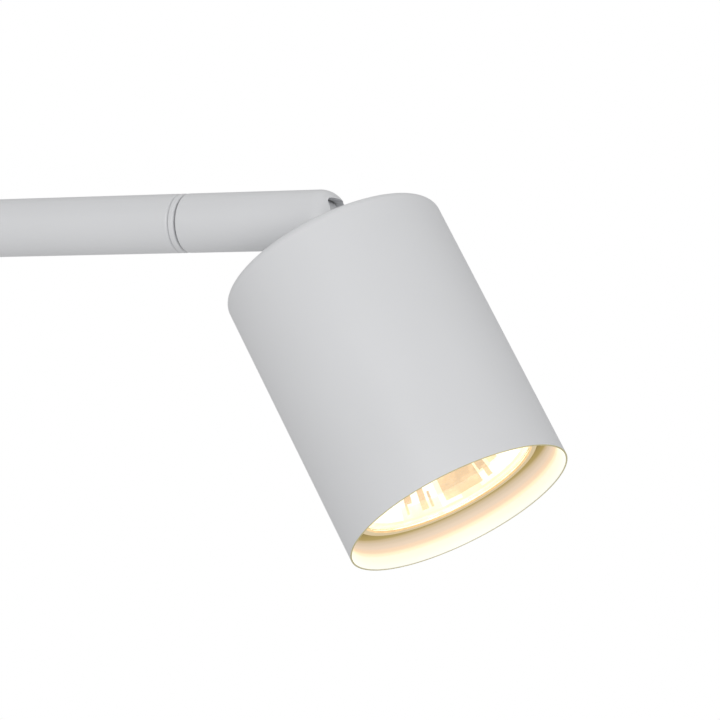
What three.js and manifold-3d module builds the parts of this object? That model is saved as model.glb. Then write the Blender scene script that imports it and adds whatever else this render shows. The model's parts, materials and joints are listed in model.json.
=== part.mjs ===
/**
 * Long-arm track spotlight with a turned shade and a twist-and-lock reflector lamp.
 *
 * Millimetres, +Z up. The origin is the centre of the insert's top face, on the axis that the
 * fitting swivels about. The arm lies along +X, and every hinge pin is parallel to Y.
 *
 * Two local frames carry the pieces below the adapter. Both put a hinge pin at their origin, and
 * +X runs away from the pin: along the arm in the arm's frame, and towards the light in the head's.
 */
import * as THREE from 'three';
import { mergeVertices } from 'three/addons/utils/BufferGeometryUtils.js';
import ManifoldModule from 'manifold-3d';

const wasm = await ManifoldModule();
wasm.setup();

// ---------------------------------------------------------------- overall sizes
const ARM_REACH = 210; // elbow pin to head pin
const BAR_D = 15.6; // arm tube, collar and both knuckles
const SHADE_D = 60;
const SHADE_LENGTH = 76;
const HEAD_TILT = 58; // degrees below the arm, as stored
const ADAPTER_WIDTH = 34;
const ADAPTER_MIDDLE = 32; // straight part between the two locks

// ---------------------------------------------------------------- clearances
const GAP = 0.3; // between neighbours that touch or turn on each other
const SEAM = 0.5; // open joint line that the head knuckle turns at
const EDGE_BREAK = 0.4; // chamfer on the visible edges of the bar's pieces

// ---------------------------------------------------------------- hinge: eye, tongue and knuckle
const EYE_R = 6.2; // rounded end of a tongue, about its pin
const EYE_EDGE_R = 1.6; // rounding of the eye's and the shank's long edges
const TONGUE_T = 9; // thickness, along the pin
const SHANK_W = 9.8;
const HINGE_RISE = 11.25; // pin to the face that the tongue is bolted to
const FLANGE_T = 1;
const HEAD_FLANGE_R = 6;
const NOSE_REACH = 8.8; // pin to the tip of a knuckle's nose
const NOSE_R = 6.6; // rounding of the nose
const PIN_R = 1.5;
const PIN_HEAD_R = 2.5;
const PIN_HEAD_T = 1.7;
const PIN_BLIND = 1.1; // how far the pin enters the closed cheek
const SOCKET_DEPTH = 1.1; // of both socketed screws
const LEAD_BORE_R = 2;
const LEAD_R = 1.5;
const STUB_R = 4;
const NUT_ACROSS_FLATS = 13;

// ---------------------------------------------------------------- arm
const TUBE_WALL = 1.5;
const PLUG_LENGTH = 10; // how far a plug enters the arm tube
const ELBOW_TAIL = 30; // elbow pin to the end of the elbow knuckle
const COLLAR_WIDTH = 1.5;
const KNUCKLE_TAIL = 37.05; // head pin to the head knuckle's rear face
const SPIGOT_R = 4.5;
const SPIGOT_LENGTH = 14.5;
const SPIGOT_BORE_DEPTH = 16;
const GROOVE_OFFSET = 7; // head knuckle's rear face to the middle of the stop groove
const GROOVE_WIDTH = 2.8;
const GROOVE_FLOOR_R = 3.2;
const STOP_RIB_HALF_ANGLE = 4; // degrees
const STOP_TIP_R = 1;
const STOP_SCREW_R = 1.45;

// ---------------------------------------------------------------- head
const SHADE_WALL = 1.2;
const SHADE_TOP_T = 1.5;
const SHADE_EDGE_R = 2.15;
const WASHER_T = 0.8;
const BRACKET_T = 1;
const BRACKET_WIDTH = 12;
const TAG_T = 0.5;
const HEAD_NUT_T = 3;
const STUB_PROUD = 0.75; // stub end beyond its nut
const HOLDER_R = 13;
const HOLDER_SCREW_BACK = 7; // holder's front face to its fixing screws

// ---------------------------------------------------------------- lamp
const LAMP_RECESS = 7.3; // shade's mouth to the lamp's front
const LAMP_R = 25.3;
const LAMP_LENGTH = 46.7; // front to the end of the ceramic base
const GLASS_R = 23.6;
const GLASS_T = 2;
const GLASS_SINK = 0.5; // lamp's front to the glass
const GLASS_SEAT = 2.9; // lamp's front to the step that the glass lies on
const LAMP_RIM_T = 2.4;
const BOWL_MOUTH_R = 22.3; // mirror's radius at the step
const BOWL_END = 30.5; // lamp's front to the end of the mirror
const BOWL_WALL = 1.9;
const NECK_R = 8.6;
const NECK_BORE_R = 6.6;
const NECK_END = 36;
const BASE_LENGTH = 15.7;
const BASE_R = 9.9;
const BASE_FLAT = 15; // width over the base's two flats
const CONTACT_PIN_PITCH = 10;
const CONTACT_PIN_R = 1.5;
const CONTACT_PIN_HEAD_R = 2.5;
const CONTACT_PIN_REACH = 7;
const CONTACT_PIN_HEAD_T = 2;
const TWIST = 22; // degrees from locked to free
const CAPSULE_R = 4.6;
const CAPSULE_WALL = 0.9;
const CAPSULE_DOME = 18.6; // lamp's front to the centre of the capsule's domed end
const CAPSULE_END = 39.7;
const FILAMENT_BACK = 20.5; // lamp's front to the filament
const FILAMENT_R = 0.6;
const FILAMENT_HALF = 2.2;
const FILAMENT_WIRE_R = 0.3;
const FILAMENT_WIRE_LENGTH = 19;

// ---------------------------------------------------------------- adapter
const INSERT_LENGTH = 36;
const INSERT_WIDTH = 13;
const INSERT_HEIGHT = 14; // above the rail seat
const SEAT_PAD_T = 0.5;
const SEAT_PAD_LENGTH = 8;
const SEAT_PAD_WIDTH = 5;
const LID_T = 1.7;
const HOUSING_HEIGHT = 11.5;
const HOUSING_WALL = 1.8;
const HOUSING_FLOOR = 2.5;
const HOUSING_EDGE = 1.2; // chamfer round the underside
const SLAB_T = 4; // floor under each turning wheel
const WHEEL_RECESS = 0.4; // wheel rim behind the housing's outline
const WHEEL_TAB_REACH = 5;
const WHEEL_TAB_WIDTH = 9;
const WHEEL_TAB_INSET = 0.8; // tab's faces inside the rim's
const GRIP_PITCH = 2; // grooves across a tab's end
const GRIP_WIDTH = 0.8;
const GRIP_DEPTH = 0.5;
const WHEEL_RIM = 3;
const WHEEL_WEB = 2;
const WHEEL_PIVOT_R = 2.5;
const WHEEL_PIVOT_DEPTH = 2.2;
const SHAFT_SQUARE = 6;
const LUG_LENGTH = 24;
const LUG_WIDTH = 12;
const LUG_T = 3;
const LUG_CLEAR = 4.2; // rail seat to the underside of the lug
const BOSS_R = 5.5;
const ROTOR_R = 6.5;
const ROTOR_BELOW_TOP = 1.5;
const ROTOR_CHAMFER = 0.6;
const BLADE_T = 1.2;
const BLADE_WIDTH = 6;
const BLADE_REACH = 11;
const LIVE_BELOW_TOP = 4.3;
const NEUTRAL_BELOW_TOP = 8.8;
const BUSH_FLANGE_R = 8;
const BUSH_FLANGE_T = 1;
const BUSH_WALL = 1.3;
const STOP_WASHER_T = 1;
const STOP_TAB_REACH = 10.5;
const STOP_TAB_WIDTH = 2.4;
const SWIVEL_NUT_T = 4;
const LID_SCREW_X = 15;
const LID_SCREW_Y = 12.2;
const LID_BOSS_R = 2.8;
const LID_SCREW_TIP = 2; // above the housing's floor
const LID_SCREW_SINK = 0.1; // below the lid's face
const SCREW_R = 1.2;
const PAN_HEAD_R = 2.5;
const PAN_HEAD_T = 1.6;
const DRIVE_SLOT_WIDTH = 0.7;
const DRIVE_SLOT_DEPTH = 0.6;
const SPRING_T = 0.5;
const SPRING_BOW = 1.4;
const SPRING_INSET = 5; // spring's end to the insert's end
const SPRING_WIDTH = 5;
const BLOCK_HALF = 8; // half the length of the terminal block's ledge
const WELL_R = 1.4;
const WELL_FLOOR = 1.5;
const ENTRY_R = 1.1;
const ENTRY_RISE = 2.2;

// ---------------------------------------------------------------- levels and places worked out
const ADAPTER_LENGTH = ADAPTER_MIDDLE + 2 * ADAPTER_WIDTH;
const BAR_R = BAR_D / 2;
const TUBE_BORE_R = BAR_R - TUBE_WALL;
const PLUG_R = TUBE_BORE_R - GAP;
const PIN_HOLE_R = PIN_R + GAP;
const STUB_HOLE_R = STUB_R + GAP;
const SLOT_HALF = TONGUE_T / 2 + GAP;
const SEAT_Z = -INSERT_HEIGHT;
const LUG_SHAFT_TOP = SEAT_Z + LUG_CLEAR + LUG_T - GAP;
const ROTOR_SHAFT_TOP = -NEUTRAL_BELOW_TOP - BLADE_T - 2 * GAP;
const LID_TOP = SEAT_Z - SEAT_PAD_T;
const LID_BOTTOM = LID_TOP - LID_T;
const HOUSING_TOP = LID_BOTTOM - GAP;
const HOUSING_BOTTOM = HOUSING_TOP - HOUSING_HEIGHT;
const FLOOR_TOP = HOUSING_BOTTOM + HOUSING_FLOOR;
const ELBOW_Z = HOUSING_BOTTOM - HINGE_RISE;
const WHEEL_X = (ADAPTER_LENGTH - ADAPTER_WIDTH) / 2;
const WHEEL_R = ADAPTER_WIDTH / 2 - WHEEL_RECESS;
const WHEEL_BOTTOM = HOUSING_BOTTOM + SLAB_T + GAP;
const COLLAR_FRONT = KNUCKLE_TAIL + SEAM; // all three measured back from the head pin
const COLLAR_REAR = COLLAR_FRONT + COLLAR_WIDTH;
const TUBE_END = COLLAR_REAR + GAP;
const MOUTH_X = HINGE_RISE + SHADE_LENGTH; // along the head's axis from its pin
const LAMP_FRONT = MOUTH_X - LAMP_RECESS;
const HOLDER_FRONT = LAMP_FRONT - LAMP_LENGTH - GAP;
const WASHER_X = HINGE_RISE + SHADE_TOP_T + GAP;
const BRACKET_X = WASHER_X + WASHER_T + GAP;
const TAG_X = BRACKET_X + BRACKET_T + GAP;
const HEAD_NUT_X = TAG_X + TAG_T + GAP;
const HEAD_STUB_END = HEAD_NUT_X + HEAD_NUT_T + STUB_PROUD;
const HOLDER_REAR = HEAD_STUB_END + GAP;
const LEG_INSIDE = HOLDER_R + GAP;
const LEG_OUTSIDE = LEG_INSIDE + BRACKET_T;
const BUSH_FLANGE_Z = FLOOR_TOP + GAP;
const STOP_WASHER_Z = BUSH_FLANGE_Z + BUSH_FLANGE_T + GAP;
const SWIVEL_NUT_Z = STOP_WASHER_Z + STOP_WASHER_T + GAP;
const STEM_TOP = SWIVEL_NUT_Z + SWIVEL_NUT_T + STUB_PROUD;

// ---------------------------------------------------------------- materials
const finish = (color, roughness, metalness) => (
  new THREE.MeshStandardMaterial({ color, roughness, metalness, flatShading: true })
);
const paint = finish(0xd6d7d9, 0.45, 0.1);
const moulding = finish(0xdedfe0, 0.5, 0);
const steel = finish(0xa9abad, 0.35, 1);
const copper = finish(0xc98f52, 0.35, 1);
const nylon = finish(0xe9e6dc, 0.6, 0);
const ceramic = finish(0xeeeae0, 0.7, 0);
const sleeving = finish(0xf0f0ee, 0.6, 0);
const mirror = finish(0xfff0cf, 0.1, 1);
const glass = new THREE.MeshStandardMaterial({ color: 0xffffff, transparent: true, opacity: 0.35 });
const tungsten = finish(0x6d6d72, 0.4, 1);

// ---------------------------------------------------------------- solids: join and cut
/** Merges a geometry's shared corners, drops its flat slivers and points its faces outwards. */
function closed(geometry) {
  const bare = new THREE.BufferGeometry();
  bare.setAttribute('position', geometry.getAttribute('position').clone());
  bare.setIndex(geometry.index ? geometry.index.clone() : null);
  const merged = mergeVertices(bare, 1e-4);
  const at = merged.getAttribute('position').array;
  const corner = (i) => new THREE.Vector3(at[3 * i], at[3 * i + 1], at[3 * i + 2]);
  const faces = [];
  let volume = 0;
  for (let i = 0; i < merged.index.count; i += 3) {
    const [a, b, c] = merged.index.array.slice(i, i + 3);
    if (a === b || b === c || c === a) continue;
    faces.push(a, b, c);
    volume += corner(a).dot(corner(b).cross(corner(c)));
  }
  merged.setIndex(volume < 0 ? faces.reverse() : faces);
  return merged;
}

/** Turns a closed geometry into a solid that can be joined and cut. */
function solid(geometry) {
  const shell = closed(geometry);
  return new wasm.Manifold(new wasm.Mesh({
    numProp: 3,
    vertProperties: new Float32Array(shell.getAttribute('position').array),
    triVerts: new Uint32Array(shell.index.array),
  }));
}

/** Turns a solid back into a geometry. */
function geometryOf(body) {
  const { vertProperties, triVerts } = body.getMesh();
  const geometry = new THREE.BufferGeometry();
  geometry.setAttribute('position', new THREE.BufferAttribute(new Float32Array(vertProperties), 3));
  geometry.setIndex(new THREE.BufferAttribute(new Uint32Array(triVerts), 1));
  return geometry;
}

const fold = (operation) => (first, ...others) => (
  geometryOf(others.reduce((body, other) => body[operation](solid(other)), solid(first)))
);
const join = fold('add');
const cut = fold('subtract');
const common = fold('intersect');

// ---------------------------------------------------------------- shapes
const radians = THREE.MathUtils.degToRad;

/** Points on an arc from one angle to another, in degrees, ends included. */
function arc(x, y, radius, from, to, steps = 3) {
  return Array.from({ length: steps + 1 }, (_, i) => {
    const angle = radians(from + ((to - from) * i) / steps);
    return [x + radius * Math.cos(angle), y + radius * Math.sin(angle)];
  });
}

/** A shape turned about Z from [radius, height] points. */
function turned(profile, segments = 28) {
  return new THREE.LatheGeometry(profile.map(([r, z]) => new THREE.Vector2(r, z)), segments)
    .rotateX(Math.PI / 2);
}

/** A round rod along Z. */
const rod = (radius, low, high, segments = 20) => (
  turned([[0, low], [radius, low], [radius, high], [0, high]], segments)
);

/** A round tube along Z. */
const pipe = (inner, outer, low, high, segments = 28) => (
  turned([[inner, low], [outer, low], [outer, high], [inner, high], [inner, low]], segments)
);

/** A hexagonal prism along Z, by its width across flats. */
const hexagon = (across, low, high) => rod(across / Math.sqrt(3), low, high, 6);

/** A block between two corners. */
function block(x0, x1, y0, y1, z0, z1) {
  return new THREE.BoxGeometry(x1 - x0, y1 - y0, z1 - z0)
    .translate((x0 + x1) / 2, (y0 + y1) / 2, (z0 + z1) / 2);
}

/** A flat outline from a list of points. */
const outline = (points) => new THREE.Shape(points.map(([x, y]) => new THREE.Vector2(x, y)));

/** A plate of an outline, standing from one height to another. */
const plate = (shape, low, high) => (
  new THREE.ExtrudeGeometry(shape, { depth: high - low, bevelEnabled: false }).translate(0, 0, low)
);

/** A rectangle with rounded corners, as points. */
function roundedBox(x0, x1, y0, y1, radius, steps = 3) {
  return [
    ...arc(x1 - radius, y0 + radius, radius, -90, 0, steps),
    ...arc(x1 - radius, y1 - radius, radius, 0, 90, steps),
    ...arc(x0 + radius, y1 - radius, radius, 90, 180, steps),
    ...arc(x0 + radius, y0 + radius, radius, 180, 270, steps),
  ];
}

/** A curved slot about the origin with round ends, as points. */
function curvedSlot(middle, half, from, to) {
  const end = (angle) => [middle * Math.cos(radians(angle)), middle * Math.sin(radians(angle))];
  return [
    ...arc(0, 0, middle + half, from, to, 3),
    ...arc(...end(to), half, to, to + 180, 6).slice(1, -1),
    ...arc(0, 0, middle - half, to, from, 3),
    ...arc(...end(from), half, from + 180, from + 360, 6).slice(1, -1),
  ];
}

const alongX = (geometry) => geometry.rotateY(Math.PI / 2);
const alongY = (geometry) => geometry.rotateX(-Math.PI / 2);

/** A section drawn in Y and Z, carried along X. */
function carriedAlongX(points, from, to) {
  const axes = [new THREE.Vector3(0, 1, 0), new THREE.Vector3(0, 0, 1), new THREE.Vector3(1, 0, 0)];
  return plate(outline(points), from, to).applyMatrix4(new THREE.Matrix4().makeBasis(...axes));
}

/** Adds a named sub-part to a group. */
function add(group, name, geometry, material) {
  const part = new THREE.Mesh(closed(geometry), material);
  part.geometry.computeVertexNormals();
  part.name = name;
  group.add(part);
}

// ---------------------------------------------------------------- hinge pieces
/** A disc about the pin with rounded rims, which the eye is and its pocket follows. */
function roundedDisc(radius, half, edge) {
  return alongY(turned([
    [0, -half],
    ...arc(radius - edge, edge - half, edge, -90, 0, 3),
    ...arc(radius - edge, half - edge, edge, 0, 90, 3),
    [0, half],
  ], 28));
}

/** The pocket that a tongue's eye turns in: open at the nose and along one side of the bar. */
function eyePocket() {
  const beyond = 2 * BAR_D;
  const eye = roundedDisc(EYE_R + GAP, SLOT_HALF, EYE_EDGE_R + GAP);
  const side = block(-EYE_R - GAP, beyond, -SLOT_HALF, SLOT_HALF, -beyond, 0);
  const section = roundedBox(-SLOT_HALF, SLOT_HALF, -beyond, SHANK_W / 2 + GAP, EYE_EDGE_R + GAP);
  return join(eye, side, carriedAlongX(section, 0, beyond));
}

/** The bar's end at a hinge: a round nose ahead of the pin, and a plain tail behind it. */
function knuckleBlank(tail) {
  return alongX(turned([
    [0, -tail],
    [BAR_R - EDGE_BREAK, -tail],
    [BAR_R, EDGE_BREAK - tail],
    ...arc(BAR_R - NOSE_R, NOSE_REACH - NOSE_R, NOSE_R, 0, 90, 7),
    [0, NOSE_REACH],
  ], 32));
}

/** Cuts the eye's pocket, the pin's holes and the lead's bore into a knuckle. */
function knuckle(blank, tail) {
  const pinHole = alongY(rod(PIN_HOLE_R, -SLOT_HALF - PIN_BLIND - GAP, BAR_R, 14));
  const headHole = alongY(rod(PIN_HEAD_R + GAP, 0, 2 * BAR_R, 18));
  const leadBore = alongX(rod(LEAD_BORE_R + GAP, -tail - 1, 0, 14));
  return cut(blank, eyePocket(), pinHole, headHole, leadBore);
}

/** The hinge screw: its shank is the pin, and its socketed head threads into the open cheek. */
function pivotScrew() {
  const headFrom = SLOT_HALF + GAP;
  const shank = rod(PIN_R, -SLOT_HALF - PIN_BLIND, headFrom + PIN_HEAD_T / 2, 14);
  const head = rod(PIN_HEAD_R, headFrom, headFrom + PIN_HEAD_T, 18);
  const socket = hexagon(PIN_HEAD_R, headFrom + PIN_HEAD_T - SOCKET_DEPTH, BAR_D);
  return alongY(cut(join(shank, head), socket));
}

/**
 * A tongue: the eye about the pin, its shank, a flange and a hollow threaded stub.
 * The lead leaves the stub's bore by a window below the flange and runs round the eye in a groove.
 */
function tongue(flangeR, stubEnd) {
  const half = TONGUE_T / 2;
  const flangeTo = HINGE_RISE - GAP;
  const eye = roundedDisc(EYE_R, half, EYE_EDGE_R);
  const section = roundedBox(-half, half, -SHANK_W / 2, SHANK_W / 2, EYE_EDGE_R);
  const shank = carriedAlongX(section, 0, flangeTo - FLANGE_T / 2);
  const flange = alongX(rod(flangeR, flangeTo - FLANGE_T, flangeTo, 28));
  const stub = alongX(rod(STUB_R, flangeTo - FLANGE_T, stubEnd, 20));
  const pinHole = alongY(rod(PIN_HOLE_R, -half - 1, half + 1, 14));
  const windowTo = flangeTo - FLANGE_T - 1;
  const bore = alongX(rod(LEAD_BORE_R, windowTo - LEAD_BORE_R * 2, stubEnd + 1, 14));
  const groove = alongY(pipe(EYE_R - LEAD_BORE_R, 2 * EYE_R, -LEAD_BORE_R, LEAD_BORE_R, 28));
  const lowerHalf = block(-2 * EYE_R, windowTo, -BAR_R, BAR_R, -2 * EYE_R, 0);
  return cut(join(eye, shank, flange, stub), pinHole, bore, common(groove, lowerHalf));
}

// ---------------------------------------------------------------- adapter, fixed pieces
const both = [-1, 1];
const wheelPlaces = both.map((side) => side * WHEEL_X);
const lidScrewPlaces = both.map((side) => [side * LID_SCREW_X, side * LID_SCREW_Y]);

/** The adapter's outline: a strip with round ends, drawn in by an inset. */
function stadium(inset) {
  const endR = ADAPTER_WIDTH / 2 - inset;
  return [...arc(WHEEL_X, 0, endR, -90, 90, 14), ...arc(-WHEEL_X, 0, endR, 90, 270, 14)];
}

/**
 * A tray under the insert: round slabs for the wheels, a deep middle for the swivel's nut.
 * A notch in each long wall lets a wheel's tab turn in to the side.
 */
function adapterHousing() {
  const tray = new THREE.ExtrudeGeometry(outline(stadium(HOUSING_EDGE)), {
    depth: HOUSING_HEIGHT,
    bevelSize: HOUSING_EDGE,
    bevelThickness: HOUSING_EDGE,
    bevelSegments: 1,
  }).translate(0, 0, HOUSING_BOTTOM + HOUSING_EDGE);
  const inner = ADAPTER_WIDTH / 2 - HOUSING_WALL;
  const roomX = WHEEL_X - WHEEL_R + HOUSING_WALL * 3;
  const ledgeTop = SWIVEL_NUT_Z - GAP;
  const beyond = ADAPTER_LENGTH;
  const above = block(-beyond, beyond, -beyond, beyond, HOUSING_TOP, 0);
  const room = block(-roomX, roomX, -inner, inner, FLOOR_TOP, 0);
  const bosses = lidScrewPlaces.map(([x, y]) => (
    rod(LID_BOSS_R, FLOOR_TOP - 1, HOUSING_TOP, 14).translate(x, y, 0)
  ));
  const low = FLOOR_TOP - 1;
  const stop = block(-STOP_TAB_REACH - 1.5, -BUSH_FLANGE_R - 1, -1, 1, low, ledgeTop);
  const ledge = block(-BLOCK_HALF, BLOCK_HALF, -inner - 1, -STOP_TAB_REACH - 1, low, ledgeTop);
  const slabTop = HOUSING_BOTTOM + SLAB_T;
  const wheelRooms = wheelPlaces.map((x) => (
    rod(ADAPTER_WIDTH / 2 + GAP, slabTop, 0, 32).translate(x, 0, 0)
  ));
  const notchX = WHEEL_X - WHEEL_TAB_WIDTH / 2 - GAP;
  const tabNotches = both.map((side) => (
    block(notchX, WHEEL_X, inner - 1, ADAPTER_WIDTH, slabTop, 0).rotateZ(side > 0 ? 0 : Math.PI)
  ));
  const pivotFloor = slabTop - WHEEL_PIVOT_DEPTH - GAP;
  const pivots = wheelPlaces.map((x) => rod(WHEEL_PIVOT_R + GAP, pivotFloor, 0, 14).translate(x, 0, 0));
  const threads = lidScrewPlaces.map(([x, y]) => (
    rod(SCREW_R + GAP, FLOOR_TOP, 0, 10).translate(x, y, 0)
  ));
  const bushHole = rod(STUB_HOLE_R + BUSH_WALL + GAP, HOUSING_BOTTOM - 1, 0, 24);
  const body = join(cut(tray, above, room), ...bosses, stop, ledge);
  return cut(body, ...wheelRooms, ...tabNotches, ...pivots, ...threads, bushHole);
}

/** The lid, the hollow insert that enters the rail, and the four pads that seat on the rail. */
function adapterLid() {
  const padX = INSERT_LENGTH / 2 + SEAT_PAD_LENGTH / 2;
  const padY = ADAPTER_WIDTH / 2 - HOUSING_WALL - SEAT_PAD_WIDTH / 2;
  const pads = both.flatMap((sx) => both.map((sy) => (
    block(-SEAT_PAD_LENGTH / 2, SEAT_PAD_LENGTH / 2, -SEAT_PAD_WIDTH / 2, SEAT_PAD_WIDTH / 2,
      LID_TOP - LID_T / 2, SEAT_Z).translate(sx * padX, sy * padY, 0)
  )));
  const halfL = INSERT_LENGTH / 2;
  const halfW = INSERT_WIDTH / 2;
  const wall = HOUSING_WALL;
  const insert = block(-halfL, halfL, -halfW, halfW, LID_TOP - LID_T / 2, 0);
  const hollow = block(wall - halfL, halfL - wall, wall - halfW, halfW - wall, LID_BOTTOM - 1, -wall);
  const shafts = wheelPlaces.map((x) => (
    rod(SHAFT_SQUARE / Math.SQRT2 + GAP, LID_BOTTOM - 1, 0, 20).translate(x, 0, 0)
  ));
  const sinks = lidScrewPlaces.map(([x, y]) => countersunk(GAP, LID_TOP + 1).translate(x, y, 0));
  const sheet = plate(outline(stadium(0)), LID_BOTTOM, LID_TOP);
  return cut(join(sheet, insert, ...pads), hollow, ...shafts, ...sinks);
}

/** A countersunk form up to its top face, widened by a clearance where it is the hole for one. */
function countersunk(clearance, top) {
  const tip = FLOOR_TOP + LID_SCREW_TIP - clearance;
  const shankR = SCREW_R + clearance;
  const headR = 2 * SCREW_R + clearance;
  const face = LID_TOP - LID_SCREW_SINK;
  return turned([
    [0, tip],
    [shankR, tip],
    [shankR, face - SCREW_R],
    [headR, face],
    [headR, top],
    [0, top],
  ], 14);
}

/** A driving slot across a screw's head, cut down from the head's top. */
function driveSlot(top) {
  const half = DRIVE_SLOT_WIDTH / 2;
  return block(-BAR_R, BAR_R, -half, half, top - DRIVE_SLOT_DEPTH, top + 1);
}

/** A lid screw with its driving slot. */
function lidScrew([x, y]) {
  const top = LID_TOP - LID_SCREW_SINK / 2;
  return cut(countersunk(0, top), driveSlot(top)).translate(x, y, 0);
}

/** A bowed strip beside the insert, which presses on the rail's earthed side. */
function earthSpring() {
  const half = INSERT_LENGTH / 2 - SPRING_INSET;
  const radius = (half * half + SPRING_BOW * SPRING_BOW) / (2 * SPRING_BOW);
  const sweep = THREE.MathUtils.radToDeg(Math.asin(half / radius));
  const centre = radius - SPRING_BOW - SPRING_T - INSERT_WIDTH / 2 - GAP;
  const strip = [
    ...arc(0, centre, radius, 270 - sweep, 270 + sweep, 12),
    ...arc(0, centre, radius - SPRING_T, 270 + sweep, 270 - sweep, 12),
  ];
  return plate(outline(strip), LID_TOP + 3, LID_TOP + 3 + SPRING_WIDTH);
}

/** The two-way terminal block on the housing's ledge. */
function terminalBlock() {
  const low = SWIVEL_NUT_Z;
  const high = HOUSING_TOP - GAP;
  const back = GAP - ADAPTER_WIDTH / 2 + HOUSING_WALL;
  const front = -NUT_ACROSS_FLATS / Math.sqrt(3) - 2 * GAP;
  const middle = (back + front) / 2;
  const ways = both.map((side) => (side * BLOCK_HALF) / 2);
  const wells = ways.map((x) => rod(WELL_R, low + WELL_FLOOR, 0, 12).translate(x, middle, 0));
  const entries = ways.map((x) => (
    alongY(rod(ENTRY_R, middle, 0, 10)).translate(x, 0, low + ENTRY_RISE)
  ));
  return cut(block(-BLOCK_HALF + 1, BLOCK_HALF - 1, back, front, low, high), ...wells, ...entries);
}

/** The flanged nylon bush that the stem turns in. */
function swivelBush() {
  const outer = STUB_HOLE_R + BUSH_WALL;
  const low = HOUSING_BOTTOM + GAP;
  return turned([
    [STUB_HOLE_R, low],
    [outer, low],
    [outer, BUSH_FLANGE_Z],
    [BUSH_FLANGE_R, BUSH_FLANGE_Z],
    [BUSH_FLANGE_R, BUSH_FLANGE_Z + BUSH_FLANGE_T],
    [STUB_HOLE_R, BUSH_FLANGE_Z + BUSH_FLANGE_T],
    [STUB_HOLE_R, low],
  ], 24);
}

// ---------------------------------------------------------------- adapter, turning locks
/** A thumb wheel: rim, web, hub, pivot, square shaft and an outward tab with grip grooves. */
function lockWheel(shaftTop) {
  const low = WHEEL_BOTTOM;
  const high = HOUSING_TOP;
  const hubR = BOSS_R;
  const half = SHAFT_SQUARE / 2;
  const pivotEnd = HOUSING_BOTTOM + SLAB_T - WHEEL_PIVOT_DEPTH;
  const wheel = turned([
    [0, pivotEnd],
    [WHEEL_PIVOT_R, pivotEnd],
    [WHEEL_PIVOT_R, low],
    [hubR, low],
    [hubR, high - WHEEL_WEB],
    [WHEEL_R - WHEEL_RIM, high - WHEEL_WEB],
    [WHEEL_R - WHEEL_RIM, low],
    [WHEEL_R, low],
    [WHEEL_R, high],
    [0, high],
  ], 36);
  const tabHalf = WHEEL_TAB_WIDTH / 2;
  const tabEnd = WHEEL_R + WHEEL_TAB_REACH;
  const tabShape = roundedBox(WHEEL_R - WHEEL_RIM + 1, tabEnd, -tabHalf, tabHalf, 1.5);
  const tab = plate(outline(tabShape), low + WHEEL_TAB_INSET, high - WHEEL_TAB_INSET);
  const groove = block(tabEnd - GRIP_DEPTH, tabEnd + 1, -GRIP_WIDTH / 2, GRIP_WIDTH / 2, low, high);
  const grooves = [-GRIP_PITCH, 0, GRIP_PITCH].map((y) => groove.clone().translate(0, y, 0));
  const shaft = block(-half, half, -half, half, high - 1, shaftTop);
  const screwHole = rod(SCREW_R + GAP, shaftTop - 4.5, 0, 10);
  return cut(join(wheel, tab, shaft), ...grooves, screwHole);
}

/** A slotted pan-head screw, from its tip up to the seat that its head lies on. */
function panScrew(tip, seat) {
  const top = seat + PAN_HEAD_T;
  return cut(join(rod(SCREW_R, tip, seat + 1, 12), rod(PAN_HEAD_R, seat, top, 14)), driveSlot(top));
}

const squareHole = (low, high) => {
  const half = SHAFT_SQUARE / 2 + GAP;
  return block(-half, half, -half, half, low, high);
};

/** The steel lug that turns crosswise under the rail's lips. */
function lockLug() {
  const low = SEAT_Z + LUG_CLEAR;
  const half = LUG_WIDTH / 2;
  const end = LUG_LENGTH / 2;
  const bar = plate(outline(roundedBox(-half, half, -end, end, 3)), low, low + LUG_T);
  const boss = rod(BOSS_R, LID_TOP + GAP, low + 1, 20);
  return cut(join(bar, boss), squareHole(LID_BOTTOM, 0));
}

/** A contact blade reaching out of the rotor to one side, grown where it is the slot for one. */
function contactBlade(side, belowTop, grow = 0) {
  const half = BLADE_WIDTH / 2 + grow;
  const shape = roundedBox(-half, half, 2 - grow, BLADE_REACH + grow, 1);
  const blade = plate(outline(shape), -belowTop - BLADE_T - grow, -belowTop + grow);
  return side > 0 ? blade : blade.rotateZ(Math.PI);
}

/** The insulating rotor that carries the two blades. */
function contactRotor() {
  const low = SEAT_Z + 2;
  const high = -ROTOR_BELOW_TOP;
  const boss = turned([
    [0, LID_TOP + GAP],
    [BOSS_R, LID_TOP + GAP],
    [BOSS_R, low],
    [ROTOR_R - ROTOR_CHAMFER, low],
    [ROTOR_R, low + ROTOR_CHAMFER],
    [ROTOR_R, high - ROTOR_CHAMFER],
    [ROTOR_R - ROTOR_CHAMFER, high],
    [0, high],
  ], 24);
  const live = contactBlade(1, LIVE_BELOW_TOP, GAP);
  const neutral = contactBlade(-1, NEUTRAL_BELOW_TOP, GAP);
  return cut(boss, live, neutral, squareHole(LID_BOTTOM, ROTOR_SHAFT_TOP + GAP));
}

// ---------------------------------------------------------------- swivel
/** The washer that turns with the stem; its tab meets the housing's stop post. */
function stopWasher() {
  const half = STOP_TAB_WIDTH / 2;
  const high = STOP_WASHER_Z + STOP_WASHER_T;
  const ring = pipe(STUB_HOLE_R, BUSH_FLANGE_R, STOP_WASHER_Z, high, 24);
  return join(ring, block(BUSH_FLANGE_R - 1, STOP_TAB_REACH, -half, half, STOP_WASHER_Z, high));
}

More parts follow.
